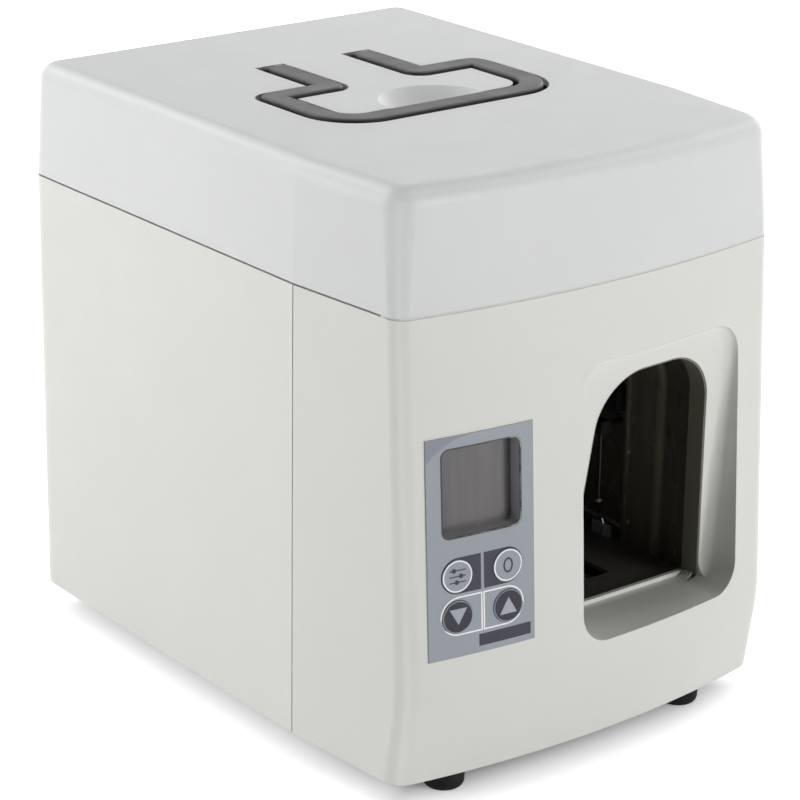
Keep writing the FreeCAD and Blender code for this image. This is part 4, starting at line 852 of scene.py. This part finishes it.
# Front of the foot line at the middle of the width, and how far it bows back at the sides
FOOT_FRONT, FOOT_BOW = -0.1315, 9.8 * MM
CAMERA_AZIMUTH, CAMERA_ELEVATION, CAMERA_ROLL, CAMERA_DISTANCE = -38.003, 20.163, 0.793, 1.230012
CAMERA_AIM = Vector((0.001, 0.130 + CORNER_Y, 0.104243 + BODY_LOW))
PICTURE, SENSOR, FOCAL = 800, 36.0, 2871.547
PICTURE_CENTRE = (382.636, 387.569)
CLIP_NEAR, CLIP_FAR = 0.05, 50.0


def direction(azimuth, elevation):
    a, e = math.radians(azimuth), math.radians(elevation)
    return Vector((math.sin(a) * math.cos(e), -math.cos(a) * math.cos(e), math.sin(e)))


def lamp(name, azimuth, elevation, distance, size, power):
    data = bpy.data.lights.new(name, "AREA")
    data.shape = "DISK"
    data.size = size
    data.energy = power
    obj = bpy.data.objects.new(name, data)
    bpy.context.scene.collection.objects.link(obj)
    away = direction(azimuth, elevation)
    obj.location = LAMP_AIM + away * distance
    obj.rotation_euler = (-away).to_track_quat("-Z", "Y").to_euler()


def sight(tree):
    """One for rays that look straight, mirrored or through, nought for the ones that carry light."""
    path = tree.nodes.new("ShaderNodeLightPath")
    total = path.outputs["Is Camera Ray"]
    for kind in ("Is Glossy Ray", "Is Transmission Ray"):
        most = tree.nodes.new("ShaderNodeMath")
        most.operation = "MAXIMUM"
        tree.links.new(total, most.inputs[0])
        tree.links.new(path.outputs[kind], most.inputs[1])
        total = most.outputs[0]
    return total


def floor_glow_painted_shadow(n):
    """Glow of the floor by how far a place lies outside the foot of the body, dimmed close to it as a painted
    shadow.
    """
    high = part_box("rear_cover")[1]
    place = n.axes()
    side = n.maths("ABSOLUTE", place["X"])
    bow = n.maths("MULTIPLY", n.maths("MULTIPLY", side, side), FOOT_BOW / high.x ** 2)
    front = n.maths("SUBTRACT", n.maths("ADD", bow, FOOT_FRONT), place["Y"])
    front = n.maths("MULTIPLY", front, PAINTED_SHADOW_FRONT_STRETCH)
    back = n.maths("SUBTRACT", place["Y"], high.y)
    out = n.maths("MAXIMUM", n.maths("SUBTRACT", side, high.x), n.maths("MAXIMUM", front, back))
    # Painted shadow: the glow dims the further a place lies inside the foot line.
    near = n.ramp(out, [(distance * MM, level) for distance, level in GLOW_PAINTED_SHADOW_STOPS])
    return n.maths("ADD", near, n.span(out, 0.0, FAR_GLOW, *FAR_SPAN))


def make_floor():
    """White floor that keeps the shadow and glows for the rays that look at it; the glow is dimmed near the
    body as a painted shadow.
    """
    mesh = bpy.data.meshes.new("floor")
    bm = bmesh.new()
    bmesh.ops.create_grid(bm, x_segments=4, y_segments=4, size=FLOOR_HALF)
    bm.to_mesh(mesh)
    bm.free()
    obj = bpy.data.objects.new("floor", mesh)
    bpy.context.scene.collection.objects.link(obj)
    n = Nodes("floor_white")
    n.shader.inputs["Base Color"].default_value = (FLOOR_WHITE, FLOOR_WHITE, FLOOR_WHITE, 1)
    n.shader.inputs["Roughness"].default_value = FLOOR_ROUGH
    n.shader.inputs["Specular IOR Level"].default_value = 0.0
    glow = n.new("ShaderNodeEmission")
    n.link(floor_glow_painted_shadow(n), glow.inputs["Strength"])
    seen = sight(n.tree)
    dark = n.new("ShaderNodeEmission")
    dark.inputs["Strength"].default_value = 0.0
    mix = n.new("ShaderNodeMixShader")
    n.link(seen, mix.inputs[0])
    n.link(dark.outputs[0], mix.inputs[1])
    n.link(glow.outputs[0], mix.inputs[2])
    add = n.new("ShaderNodeAddShader")
    n.link(n.shader.outputs[0], add.inputs[0])
    n.link(mix.outputs[0], add.inputs[1])
    n.link(add.outputs[0], n.tree.nodes["Material Output"].inputs["Surface"])
    mesh.materials.append(n.material)


def make_world(strength):
    """White to look at, and light of the given strength."""
    world = bpy.data.worlds.new("studio")
    bpy.context.scene.world = world
    world.use_nodes = True
    tree = world.node_tree
    soft = tree.nodes["Background"]
    soft.inputs["Color"].default_value = (1, 1, 1, 1)
    soft.inputs["Strength"].default_value = strength
    white = tree.nodes.new("ShaderNodeBackground")
    white.inputs["Color"].default_value = (1, 1, 1, 1)
    white.inputs["Strength"].default_value = 1.0
    mix = tree.nodes.new("ShaderNodeMixShader")
    tree.links.new(sight(tree), mix.inputs[0])
    tree.links.new(soft.outputs[0], mix.inputs[1])
    tree.links.new(white.outputs[0], mix.inputs[2])
    tree.links.new(mix.outputs[0], tree.nodes["World Output"].inputs["Surface"])


def make_camera():
    """Camera as it was worked out from the photograph's edges."""
    back = direction(CAMERA_AZIMUTH, CAMERA_ELEVATION)
    roll = math.radians(CAMERA_ROLL)
    level = (-back).cross(Vector((0, 0, 1))).normalized()
    upright = level.cross(-back)
    right = level * math.cos(roll) + upright * math.sin(roll)
    up = upright * math.cos(roll) - level * math.sin(roll)
    data = bpy.data.cameras.new("camera")
    data.sensor_width = SENSOR
    data.lens = FOCAL / PICTURE * SENSOR
    data.shift_x = (PICTURE / 2 - PICTURE_CENTRE[0]) / PICTURE
    data.shift_y = (PICTURE_CENTRE[1] - PICTURE / 2) / PICTURE
    data.clip_start = CLIP_NEAR
    data.clip_end = CLIP_FAR
    obj = bpy.data.objects.new("camera", data)
    bpy.context.scene.collection.objects.link(obj)
    turn = Matrix((right, up, back)).transposed().to_4x4()
    turn.translation = CAMERA_AIM + back * CAMERA_DISTANCE
    obj.matrix_world = turn
    bpy.context.scene.camera = obj


bpy.context.scene.view_settings.view_transform = "Standard"
make_floor()
make_world(WORLD_LIGHT)
for values in LAMPS:
    lamp(*values)
make_camera()
